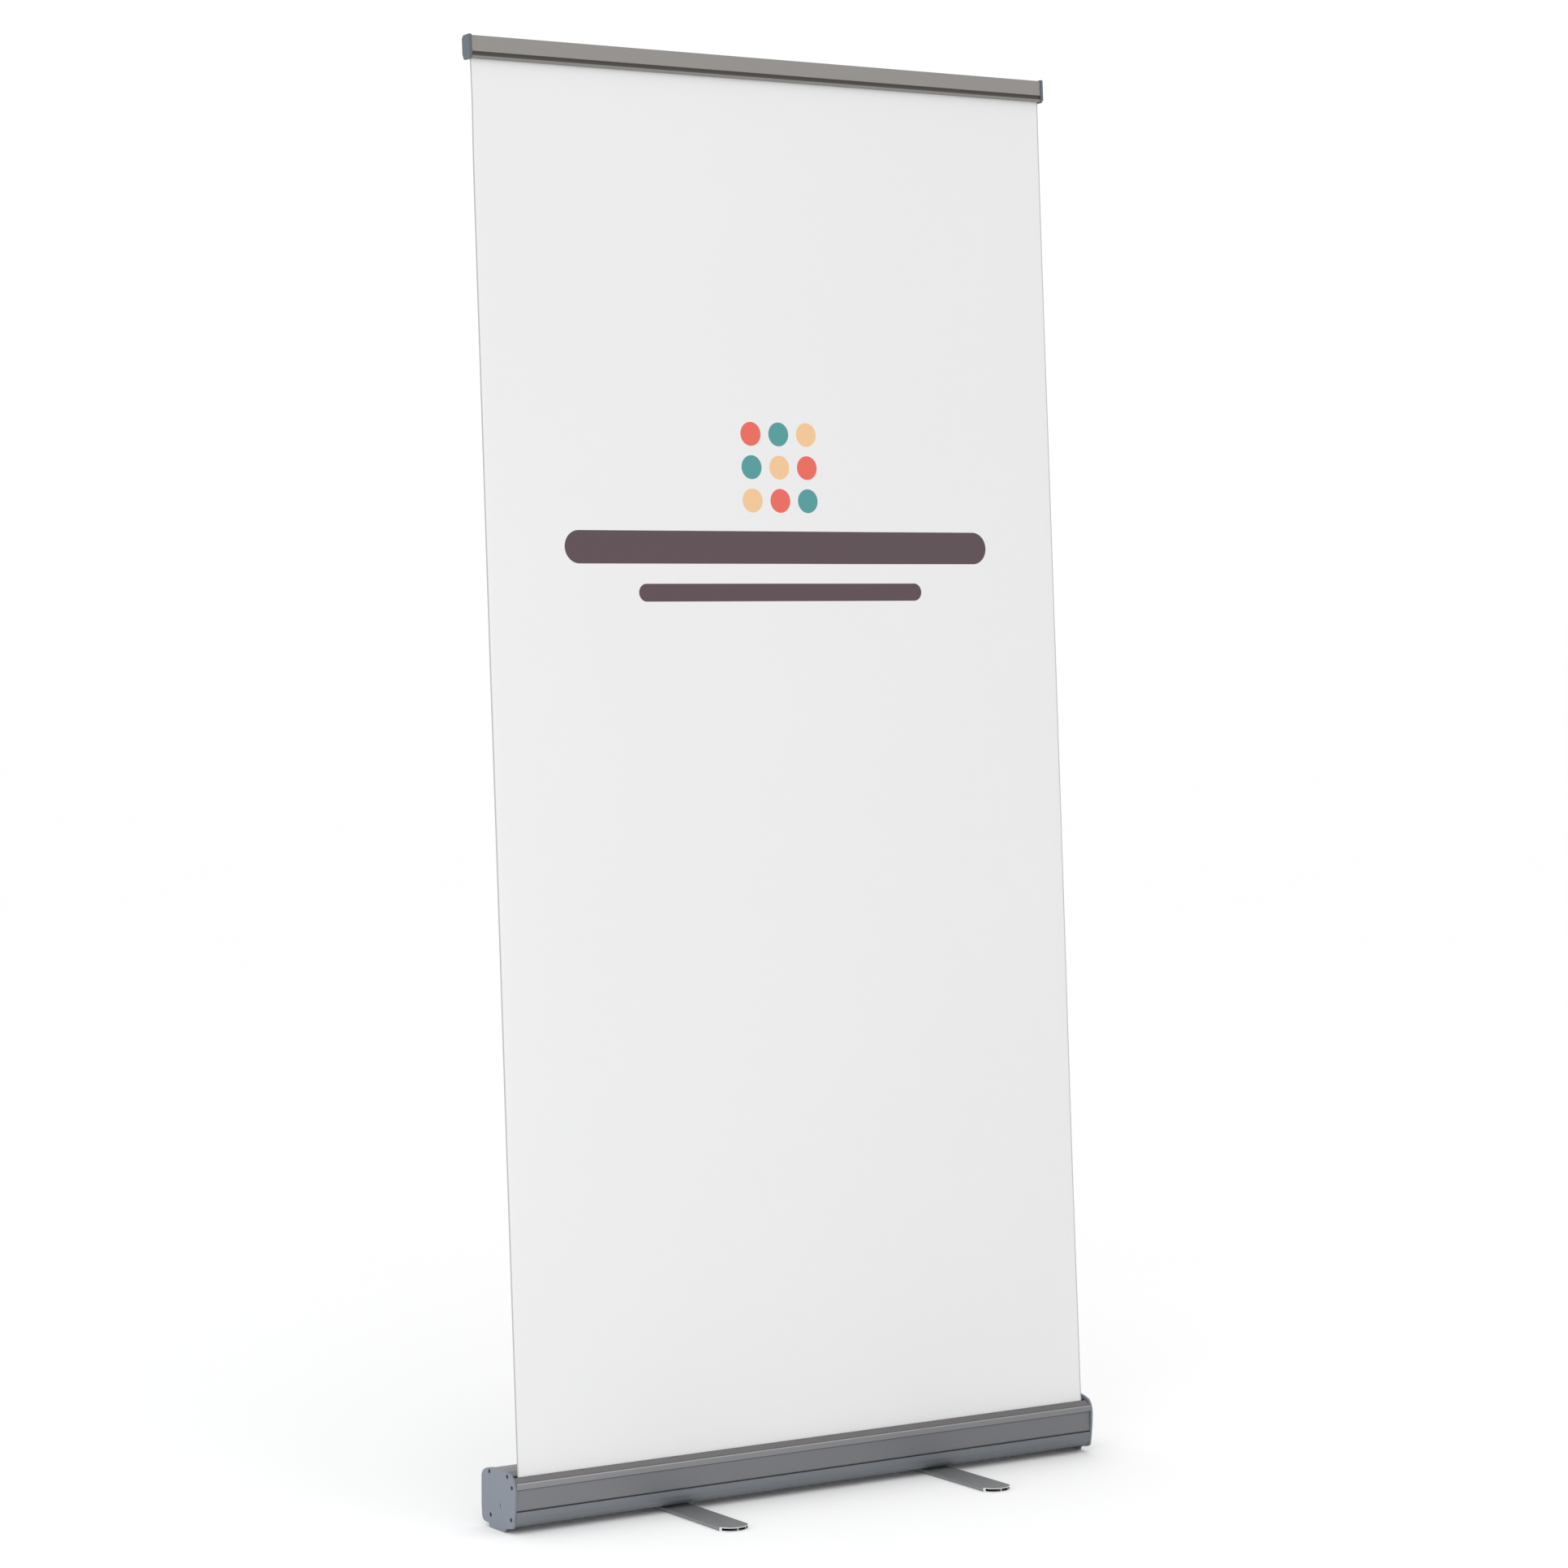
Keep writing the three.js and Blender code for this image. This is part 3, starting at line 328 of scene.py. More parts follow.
def cushion(name, outline, low, high, rim, place=cassette_points, sharp=SHARP, steps=4):
    """A closed outline carried along X, with its two ends rounded over.

    Towards each end the outline is inset by rim (1 - sin t) at a distance rim (1 - cos t) from
    the end, with t from 0 to a right angle.
    """
    t = np.linspace(0, math.pi / 2, steps + 1)
    near = [(low + rim * MM * (1 - math.cos(a)), rim * (1 - math.sin(a))) for a in t]
    far = [(low + high - x, depth) for x, depth in reversed(near)]
    return loft(name, [place(inset(outline, depth), x) for x, depth in near + far], sharp)


def turned(name, profile, centre, axis, sides=64, shape=None, sharp=SHARP):
    """A profile of (radius, height) in millimetres turned about an axis.

    A point is centre + r cos(a) U + r sin(a) V + h axis, with U and V square to the axis. A
    profile that starts and ends on the axis is closed by a point there; any other is a ring.
    shape may change r and h, given both and the angle a.
    """
    profile = np.asarray(profile, float) * MM
    on_axis = profile[:, 0] < 1e-7
    rings = profile[~on_axis]
    angle = np.arange(sides) / sides * 2 * math.pi
    r, a = np.meshgrid(rings[:, 0], angle, indexing="ij")
    h = np.broadcast_to(rings[:, 1:], r.shape)
    if shape:
        r, h = shape(r, h, a)
    axis = np.array(axis, float)
    u = ACROSS if abs(axis[0]) < 0.9 else np.array([0.0, 1.0, 0.0])
    v = np.cross(axis, u)
    r, h, a = r[..., None], h[..., None], a[..., None]
    points = (np.asarray(centre) + r * np.cos(a) * u + r * np.sin(a) * v + h * axis).reshape(-1, 3)
    solid = on_axis.any()
    faces = quads(len(rings), sides, wrap_rows=not solid, wrap_columns=True).tolist()
    if solid:
        low, high = (np.asarray(centre) + profile[i, 1] * axis for i in (0, -1))
        if shape:
            low = low + (shape(np.zeros(1), profile[:1, 1], np.zeros(1))[1] - profile[0, 1]) * axis
        ring, count = np.arange(sides), len(points)
        after = (ring + 1) % sides
        last = (len(rings) - 1) * sides
        first_fan = np.stack((after, ring, np.full(sides, count)), 1)
        last_fan = np.stack((last + ring, last + after, np.full(sides, count + 1)), 1)
        points = np.vstack((points, low, high))
        faces += first_fan.tolist() + last_fan.tolist()
    return piece(name, points, faces, sharp)


def drill(radius, low, high, centre, axis, sides=64):
    """A plain cylinder that cuts a hole, with its radius and heights in millimetres."""
    profile = [(0, low), (radius, low), (radius, high), (0, high)]
    return turned("drill", profile, centre, axis, sides)


def slab(name, front, back, sharp=SHARP):
    """A thin solid between two grids of points, joined along their four borders."""
    rows, columns = front.shape[:2]
    count = rows * columns
    near = quads(rows, columns)
    far = near[:, ::-1] + count
    grid = np.arange(count).reshape(rows, columns)
    border = np.concatenate((grid[0], grid[1:, -1], grid[-1, -2::-1], grid[-2:0:-1, 0]))
    after = np.roll(border, -1)
    rim = np.stack((border, border + count, after + count, after), 1)
    points = np.concatenate((front.reshape(-1, 3), back.reshape(-1, 3)))
    return piece(name, points, np.concatenate((near, far, rim)).tolist(), sharp)


def settle(made):
    """Makes the modifiers' result the piece's own mesh."""
    graph = bpy.context.evaluated_depsgraph_get()
    mesh = bpy.data.meshes.new_from_object(made.evaluated_get(graph))
    made.modifiers.clear()
    made.data = mesh


def combine(made, operation, *others, sharp=SHARP):
    """Cuts other solids from a piece, or joins them to it, and removes them."""
    for other in others:
        step = made.modifiers.new(operation, "BOOLEAN")
        step.operation, step.solver, step.object = operation, "EXACT", other
    settle(made)
    for other in others:
        bpy.data.objects.remove(other)
    shade(made, sharp)
    return made


def box_outline(low, high):
    """The four corners of a rectangle."""
    return np.array([low, (high[0], low[1]), high, (low[0], high[1])], float)


def own(made, body, slot, *nodes):
    """Joins a piece to the frame: the body it rides on and the nodes it stands for; slot, its
    finish, is not used.
    """
    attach(made, body)
    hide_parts(*nodes)
    return made


# ---- materials -----------------------------------------------------------------------------
class Value:
    """One socket of a material. Arithmetic on it adds Math nodes."""

    def __init__(self, look, socket):
        self.look, self.socket = look, socket

    def maths(self, operation, *others):
        """A Math node on this value and the others."""
        return self.look.maths(operation, self, *others)

    def __add__(self, other):
        return self.maths("ADD", other)

    def __sub__(self, other):
        return self.maths("SUBTRACT", other)

    def __mul__(self, other):
        return self.maths("MULTIPLY", other)

    def __truediv__(self, other):
        return self.maths("DIVIDE", other)

    def __rsub__(self, other):
        return self.look.maths("SUBTRACT", other, self)

    __radd__, __rmul__ = __add__, __mul__


class Look:
    """A material, built node by node."""

    def __init__(self, name):
        self.material = bpy.data.materials.new(name)
        self.material.use_nodes = True
        self.tree = self.material.node_tree
        self.tree.nodes.clear()
        self.place = self.node("ShaderNodeTexCoord", output="Object")

    def node(self, kind, settings=None, inputs=None, output=0):
        """Adds a node with its settings, then the values or links of its sockets."""
        made = self.tree.nodes.new(kind)
        for name, setting in (settings or {}).items():
            setattr(made, name, setting)
        for name, value in (inputs or {}).items():
            if isinstance(value, Value):
                self.tree.links.new(value.socket, made.inputs[name])
            else:
                made.inputs[name].default_value = value
        return Value(self, made.outputs[output]) if made.outputs else None

    def maths(self, operation, *values):
        """A Math node on values and numbers."""
        return self.node("ShaderNodeMath", {"operation": operation}, dict(enumerate(values)))

    def mix(self, share, a, b, blend="MIX"):
        """Colour a where share is 0, and b, or a blended with b, where it is 1."""
        a, b = (v if isinstance(v, Value) else (*v, 1.0)[:4] for v in (a, b))
        settings = {"data_type": "RGBA", "blend_type": blend}
        return self.node("ShaderNodeMix", settings, {0: share, 6: a, 7: b}, 2)

    def stretched(self, size, turn=0.0):
        """Object coordinates turned about X, then divided by a size for each axis."""
        return self.node(
            "ShaderNodeMapping", {"vector_type": "TEXTURE"},
            {"Vector": self.place, "Rotation": (turn, 0, 0), "Scale": size},
        )

    def noise(self, scale, detail=2.0, rough=0.5, at=None):
        """Soft noise from 0 to 1, with about scale lumps to the metre."""
        inputs = {"Vector": at or self.place, "Scale": scale, "Detail": detail, "Roughness": rough}
        return self.node("ShaderNodeTexNoise", None, inputs)

    def step(self, value, edge, soft):
        """0 below edge and 1 above it, over a soft width."""
        settings = {"interpolation_type": "SMOOTHSTEP"}
        inputs = {"Value": value, "From Min": edge - soft / 2, "From Max": edge + soft / 2}
        return self.node("ShaderNodeMapRange", settings, inputs)

    def finish(self, height=None, depth=0.0002, strength=0.3, **sockets):
        """The surface shader. Socket names are given with underscores for spaces."""
        inputs = {name.replace("_", " "): value for name, value in sockets.items()}
        if height is not None:
            bump = {"Height": height, "Distance": depth, "Strength": strength}
            inputs["Normal"] = self.node("ShaderNodeBump", None, bump)
        shader = self.node("ShaderNodeBsdfPrincipled", None, inputs)
        self.node("ShaderNodeOutputMaterial", None, {"Surface": shader})
        return self.material


def shades(base, spread):
    """A darker and a lighter version of a colour."""
    return [tuple(min(c * s, 1.0) for c in base) for s in (1 - spread, 1 + spread)]


def drawn(look, lines, turn=0.0):
    """A drawn metal's die lines, soft patches and fine etched grain."""
    die = look.noise(1.0, 4.0, 0.65, look.stretched(lines, turn))
    return die, look.noise(7.0, 3.0, 0.55), look.noise(2400.0, 2.0, 0.6)


def aluminium(name, base, lines, turn=0.0, spread=0.07, roughness=0.36, metallic=0.55):
    """Satin anodised extrusion."""
    look = Look(name)
    die, patch, grain = drawn(look, lines, turn)
    share = die * 0.6 + patch * 0.28 + grain * 0.12
    return look.finish(
        Base_Color=look.mix(share, *shades(base, spread)),
        Roughness=roughness + 0.10 * die + 0.08 * patch,
        Metallic=metallic,
        height=die * 0.55 + grain * 0.45, depth=0.00012, strength=0.22,
    )


def banded_with_painted_light(name, base, up, start, bands, right, metallic=0.5):
    """Anodised extrusion whose front changes tone in bands up its height, some of them painted
    shade and painted highlight.

    With p a point, height = up . (p - start) and depth = back . (p - start), in millimetres. A band
    (low, high, deepest, tint) covers low < height < high where depth < deepest. Along X the colour
    is multiplied down to the share named right at the +X end: painted shade, as light falling off
    away from the -X end.
    """
    look = Look(name)
    die, patch, grain = drawn(look, ALONG_X)
    streak = look.noise(1.0, 4.0, 0.7, look.stretched((0.012, 0.003, 0.003)))
    share = die * 0.45 + patch * 0.25 + grain * 0.13 + streak * 0.17
    parts = {"Vector": look.place}
    x, y, z = (look.node("ShaderNodeSeparateXYZ", None, parts, i) for i in range(3))
    y, z = (y - start[1]) * 1000.0, (z - start[2]) * 1000.0
    height, depth = z * up[2] + y * up[1], y * up[2] - z * up[1]
    metal = look.mix(share, *shades(base, 0.08))
    # Each band mixes in its tint; the groove and under-lip bands are painted shade and the lip-edge
    # band a painted highlight.
    for low, high, deepest, tint in bands:
        within = look.step(height, low, 0.4) - look.step(height, high, 0.4)
        cover = within * (1 - look.step(depth, deepest, 0.5))
        band_tone_and_light = tuple(c * t for c, t in zip(base, tint))
        metal = look.mix(cover, metal, look.mix(share, *shades(band_tone_and_light, 0.09)))
    # Painted shade: darker along X towards the share named right, as a falloff of light from the -X
    # end.
    metal = look.mix(x + 0.5, metal, (right, right, right), "MULTIPLY")
    return look.finish(
        Base_Color=metal, Roughness=0.36 + 0.10 * die + 0.08 * patch, Metallic=metallic,
        height=die * 0.45 + grain * 0.35 + streak * 0.2, depth=0.00012, strength=0.25,
    )


def moulded(name, base, spread=0.08, roughness=0.42, grain_size=1500.0, depth=0.00012):
    """Moulded or powder-coated plastic: a fine leathered grain and slight clouding."""
    look = Look(name)
    cell = look.node("ShaderNodeTexVoronoi", None, {"Vector": look.place, "Scale": grain_size})
    cloud = look.noise(22.0, 3.0, 0.6)
    fine = look.noise(900.0, 3.0, 0.6)
    return look.finish(
        Base_Color=look.mix(cloud * 0.65 + fine * 0.35, *shades(base, spread)),
        Roughness=roughness + 0.12 * cloud + 0.06 * fine,
        height=cell * 0.6 + fine * 0.4, depth=depth, strength=0.35,
    )


def turned_steel(name, base):
    """Zinc-plated steel, with faint clouding and machining marks."""
    look = Look(name)
    marks = look.noise(1.0, 3.0, 0.6, look.stretched((0.0004, 0.004, 0.004)))
    cloud = look.noise(160.0, 3.0, 0.6)
    return look.finish(
        Base_Color=look.mix(marks * 0.4 + cloud * 0.6, *shades(base, 0.16)),
        Roughness=0.26 + 0.18 * cloud, Metallic=0.9,
        height=marks, depth=0.00006, strength=0.3,
    )


def sawn_edge(name, base):
    """Bare aluminium left by the saw, with close upright scratches."""
    look = Look(name)
    cuts = look.noise(1.0, 3.0, 0.7, look.stretched((0.0003, 0.0003, 0.004)))
    return look.finish(
        Base_Color=look.mix(cuts, *shades(base, 0.14)), Roughness=0.34 + 0.2 * cuts, Metallic=0.6,
        height=cuts, depth=0.00015, strength=0.4,
    )


def printed_film(name, tone, width, height):
    """White satin film with plain bars and a square of discs in print, and painted grey shade along
    its curled side edges.

    Every shape is a distance from its edge: for a round-ended bar, the length of (|x| - half + r
    where positive, z - middle) less r; for a disc, the distance from its cell's middle less its
    radius.
    """
    look = Look(name)
    parts = {"Vector": look.node("ShaderNodeUVMap", {"uv_map": FILM_CHART})}
    x = (look.node("ShaderNodeSeparateXYZ", None, parts, 0) - 0.5) * width
    z = look.node("ShaderNodeSeparateXYZ", None, parts, 1) * height
    aside = x.maths("ABSOLUTE")
    soft = 0.0005

    def plain_bar(middle, half_width, r):
        dx, dz = (aside - (half_width - r)).maths("MAXIMUM", 0.0), z - middle
        return 1 - look.step((dx * dx + dz * dz).maths("SQRT"), r, soft)

    bars = plain_bar(1.312, 0.372, 0.024).maths("MAXIMUM", plain_bar(1.246, 0.250, 0.013))
    # The discs' spacing, their square's middle, and their radius as a share of the spacing.
    pitch, middle, radius = 0.049, 1.430, 0.36
    cx, cz = x / pitch + 1.5, (z - middle) / pitch + 1.5
    ux, uz = cx.maths("FRACT") - 0.5, cz.maths("FRACT") - 0.5
    disc = 1 - look.step((ux * ux + uz * uz).maths("SQRT"), radius, soft / pitch)
    out = aside.maths("MAXIMUM", (z - middle).maths("ABSOLUTE"))
    within = 1 - look.step(out, 1.5 * pitch, soft)
    turn = (cx.maths("FLOOR") + 2 * cz.maths("FLOOR")).maths("FLOORED_MODULO", 3.0)
    ink = look.mix(look.step(turn, 0.5, 0.1), tone.print_sand[:], tone.print_coral[:])
    ink = look.mix(look.step(turn, 1.5, 0.1), ink, tone.print_teal[:])
    cloud, fibre = look.noise(3.0, 3.0, 0.5), look.noise(1600.0, 2.0, 0.6)
    shown = look.mix(cloud * 0.7 + fibre * 0.3, *shades(tone.film[:], 0.012))
    shown = look.mix(disc * within, shown, ink)
    shown = look.mix(bars, shown, tone.print_dark[:])
    # Painted shade: a grey strip of the back's colour along both side edges, darkening their curl.
    cut = look.step(aside, width / 2 - 0.0018, 0.0008)
    shown = look.mix(cut * 0.75, shown, tone.film_back[:])
    return look.finish(
        Base_Color=shown, Roughness=0.46 + 0.08 * cloud + 0.05 * bars, Specular_IOR_Level=0.35,
        height=fibre, depth=0.00004, strength=0.15,
    )


def plain_film(name, base):
    """The film's unprinted back, with a fine cloth-like grain."""
    look = Look(name)
    weave = look.noise(1900.0, 2.0, 0.6)
    cloud = look.noise(4.0, 3.0, 0.5)
    return look.finish(
        Base_Color=look.mix(cloud * 0.5 + weave * 0.5, *shades(base, 0.05)),
        Roughness=0.55 + 0.08 * weave, height=weave, depth=0.00005, strength=0.2,
    )


def finishes():
    """Every material by name, made once."""
    if "shell" not in MATERIALS:
        tone, sizes = bpy.context.scene.stand_colours, bpy.context.scene.stand_sizes
        MATERIALS.update(
            # The cassette's 0.84 paints shade darkening it towards +X; the rail's 1.0 leaves it
            # even.
            shell=banded_with_painted_light("anodised cassette", tone.shell[:], UPRIGHT, (0, SLOT[1], 0),
                         SHELL_TONE_AND_LIGHT_BANDS, 0.84),
            plate=moulded("painted end plate", tone.plate[:], 0.06, 0.36),
            rail=banded_with_painted_light("anodised rail", tone.rail[:], UP, SLOT, RAIL_TONE_AND_SHADE_BANDS, 1.0),
            cap=moulded("moulded rail cap", tone.cap[:], 0.08, 0.38),
            pole=aluminium("anodised pole", tone.pole[:], ALONG_Z, -LEAN,
                           roughness=0.28, metallic=0.85),
            roller=aluminium("drawn roller tube", tone.pole[:], ALONG_X, metallic=0.8),
            foot=aluminium("anodised foot", tone.foot[:], ALONG_Y),
            sawn=sawn_edge("sawn aluminium", tone.sawn[:]),
            black=moulded("black plastic", tone.black[:], 0.2, 0.4),
            nylon=moulded("white nylon", tone.nylon[:], 0.03, 0.45),
            steel=turned_steel("plated steel", tone.steel[:]),
            screw=turned_steel("blackened screw", tone.screw[:]),
            film=printed_film("printed film", tone, sizes.banner_width, sizes.banner_height),
            film_back=plain_film("film back", tone.film_back[:]),
        )
    return MATERIALS


def wear(made, *names):
    """Gives a piece its materials."""
    made.data.materials.clear()
    for name in names:
        made.data.materials.append(finishes()[name])
    return made


def refinish(name, *nodes):
    """Gives carried-over nodes a material in their own slots."""
    for node in nodes:
        shown = frame["nodes"][node]
        shown.data.materials.clear()
        shown.data.materials.append(finishes()[name])


# ---- operators -----------------------------------------------------------------------------
class BANNERSTAND_OT_cassette(bpy.types.Operator):
    """Extruded cassette with its lip, panel, groove and slot"""

    bl_idname = "bannerstand.cassette"
    bl_label = "Cassette"

    def execute(self, context):
        outer = rounded(
            [(-2, 80), (-11.8, 74), (-13, 73), (-13, 64.6), (-10.9, 64.6), (-10.9, 34.4),
             (-9.7, 34.4), (-9.7, 32.8), (-12, 32.8), (-11.6, 24), (-9.7, 16.5), (-8.3, 15),
             *SHELL_REAR],
            [0, 1.5, 1, 0.5, 0.35, 0.3, 0.2, 0.2, 0.4, 12, 5, 2,
             3, 0, 7, 8, 12, 14, 12, 24, 40, 60, 12, 0],
        )
        lining = np.array([(-2, 79), (-10.9, 72), (-10.9, 27), (-8.7, 17), *SHELL_REAR], float)
        inner = inside(lining, context.scene.stand_sizes.wall / MM)
        # The wall ends upright at the slot's two edges.
        inner[0], inner[-1] = (-2, 77.6), (4.5, 79.6)
        outline = np.vstack((outer, inner[::-1]))
        shell = bar("cassette_shell", outline, SHELL_LOW[0], SHELL_HIGH[0])
        combine(shell, "DIFFERENCE", drill(14.3, -18.3, 26, POLE, UP))
        wear(shell, "shell")
        own(shell, "base", "cassette_aluminium", "cassette_housing")
        return {"FINISHED"}


def plate_outline():
    """An end plate's edge: bulging front, arched top, rounded rear and a lug that stands below."""
    front, rear, top, lug = -14.0, 81.6, 88.6, 5.5
    foot_rear = rear - 23.6
    return np.vstack((
        [(15, 0), (foot_rear, 0), (foot_rear + 2.5, lug), (rear - 10, lug + 0.8)],
        arc((rear - 10, lug + 0.8), (rear - 1.8, lug + 2), (rear - 1.2, lug + 11))[1:],
        [(rear - 1.2, lug + 11), (rear, lug + 24), (rear, top - 19)],
        arc((rear, top - 19), (rear - 1, top - 8.5), (rear - 15, top - 4.8))[1:],
        arc((rear - 15, top - 4.8), (rear - 32, top), (rear - 50, top)),
        arc((rear - 50, top), (front + 25, top + 0.2), (front + 9, top - 6.5)),
        arc((front + 9, top - 6.5), (front - 0.2, top - 14), (front, top - 30)),
        arc((front, top - 30), (front + 0.2, top - 52), (front + 4.4, lug + 7)),
        arc((front + 4.4, lug + 7), (front + 6, lug + 3.6), (front + 12, lug + 2.8)),
        [(front + 12, lug + 2.8), (12.5, lug)],
    ))


def screw_seat(side, y, z):
    """A point on an end plate's outer face, from a cassette outline's y and z."""
    return np.array([side * PLATE_HIGH[0], SLOT[1] + y * MM, z * MM])


def axle_end(side):
    """The point where the roller's axis meets an end plate's outer face."""
    return np.array([side * PLATE_HIGH[0], ROLLER[1], ROLLER[2]])


class BANNERSTAND_OT_end_plates(bpy.types.Operator):
    """End plates with rounded rims, screw pockets and the shaft's hole"""

    bl_idname = "bannerstand.end_plates"
    bl_label = "End plates"

    def execute(self, context):
        rim = context.scene.stand_sizes.rim / MM
        for word, side in SIDES:
            low, high = sorted((side * PLATE_LOW[0], side * PLATE_HIGH[0]))
            name = "end_plate_" + word
            plate = cushion(name + "_cover", plate_outline(), low, high, rim, sharp=SQUARE)
            outward = side * ACROSS
            holes = [drill(3.2, -1.8, 1, screw_seat(side, *at), outward, 32) for at in SCREWS]
            holes.append(drill(4.3, -5, 1, axle_end(side), outward, 48))
            combine(plate, "DIFFERENCE", *holes, sharp=SQUARE)
            wear(plate, "plate")
            own(plate, "base", "plate_plastic", name)
        return {"FINISHED"}


def cross_recess(r, h, a):
    """Sinks a screw head's crown by 1 mm where either arm of a cross covers it.

    An arm is |r sin a| or |r cos a| below 0.5 mm, with walls 0.12 mm wide, and ends 1.8 mm out.
    """
    arm = np.minimum(np.abs(r * np.sin(a)), np.abs(r * np.cos(a)))
    sunk = np.clip((0.00050 - arm) / 0.00012, 0, 1) * np.clip((0.00180 - r) / 0.0002, 0, 1)
    return r, h - 0.001 * sunk * (h > -0.0006)


class BANNERSTAND_OT_screws(bpy.types.Operator):
    """Pan-head screws with cross recesses, five in each end plate"""

    bl_idname = "bannerstand.screws"
    bl_label = "Screws"

    def execute(self, context):
        crown = np.linspace(0, 2.2, 20)
        dome = np.column_stack((crown, -0.12 * (crown / 2.2) ** 2))
        rest = [(2.6, -0.2), (2.82, -0.34), (2.9, -0.6), (2.9, -1.5), (1.25, -1.5), (1.25, -14),
                (0, -14)]
        profile = np.vstack((dome, rest))
        for word, side in SIDES:
            for i, at in enumerate(SCREWS, 1):
                node = f"end_plate_{word}_screw_{i}"
                seat = screw_seat(side, *at)
                screw = turned(node + "_head", profile, seat, side * ACROSS, 96, cross_recess, 28)
                wear(screw, "screw")
                own(screw, "base", "steel", node)
        return {"FINISHED"}


def spiral(first, pitch, turns, thickness, steps=56):
    """A strip wound round the roller: radius = first + pitch a / 2 pi, in millimetres."""
    a = np.linspace(0, 2 * math.pi * turns, int(steps * turns))
    r = first + pitch * a / (2 * math.pi)
    around = np.column_stack((np.cos(a), np.sin(a)))
    outer, inner = (around * (r + half)[:, None] for half in (thickness / 2, -thickness / 2))
    centre = np.array([ROLLER[1] - SLOT[1], ROLLER[2]]) / MM
    return centre + np.vstack((outer, inner[::-1]))


class BANNERSTAND_OT_roller(bpy.types.Operator):
    """Roller tube, its shaft ends and the turns of film left on it"""

    bl_idname = "bannerstand.roller"
    bl_label = "Roller"

    def execute(self, context):
        half = (ROLLER_HIGH[0] - ROLLER_LOW[0]) / 2 / MM
        ring = [(12.5, -half), (13.7, -half), (14, 0.3 - half),
                (14, half - 0.3), (13.7, half), (12.5, half)]
        tube = wear(turned("roller_barrel", ring, ROLLER, ACROSS), "roller")
        own(tube, "roller", "pole_aluminium", "roller_tube")
        film = context.scene.stand_sizes.banner_width / 2
        turns = spiral(first=14.55, pitch=0.22, turns=2.6, thickness=0.16)
        wound = bar("wound_film", turns, -film, film, sharp=60)
        wear(wound, "film_back")
        own(wound, "roller", "banner_film", "banner_wound_turns")
        for node, side in (("spring_shaft", -1), ("idle_pin", 1)):
            low, high = node_box(node)
            size = (high[0] - low[0]) / MM
            profile = [(0, -12), (1.6, -12), (1.6, -0.2), (1.8, 0), (3.7, 0), (4, -0.3),
                       (4, -size), (0, -size)]
            shaft = turned(node + "_turned", profile, axle_end(side), side * ACROSS)
            wear(shaft, "steel")
            own(shaft, "base", "steel", node)
        refinish("black", "roller_plug_left", "roller_plug_right", "spring_arbor")
        refinish("steel", "roller_spring")
        return {"FINISHED"}


def film_offset(x, s, width, height, sizes):
    """How far the film stands in front of its plane, in metres.

    Waves: the sum of three slow sine products, times hold = (4t(1-t))^0.6 with t the share of
    the height, so it is flat in the slot and in the rail. Side edges curl back as
    exp(-distance / 5 mm). The upper left corner leans forward by 4 mm, as a bell in x and in
    height, times the square root of hold.
    """
    t = np.clip(s / height, 0, 1)
    hold = (4 * t * (1 - t)) ** 0.6
    u = x / width
    waves = (
        np.sin(2.1 * math.pi * u + 1.3 * t) * np.sin(2.6 * math.pi * t + 0.4)
        + 0.6 * np.sin(3.7 * math.pi * u - 2.2 * t + 0.8) * np.sin(1.4 * math.pi * t + 0.9)
        + 0.35 * np.sin(6.3 * math.pi * u + 3.0 * t) * np.sin(4.2 * math.pi * t)
    )
    edge = np.exp(-(width / 2 - np.abs(x)) / 0.005)
    corner = np.exp(-(((x + width / 2) / 0.05) ** 2)) * np.exp(-(((height - s - 0.05) / 0.07) ** 2))
    return hold * (sizes.wave * waves - sizes.edge_curl * edge) + 0.004 * corner * hold**0.5


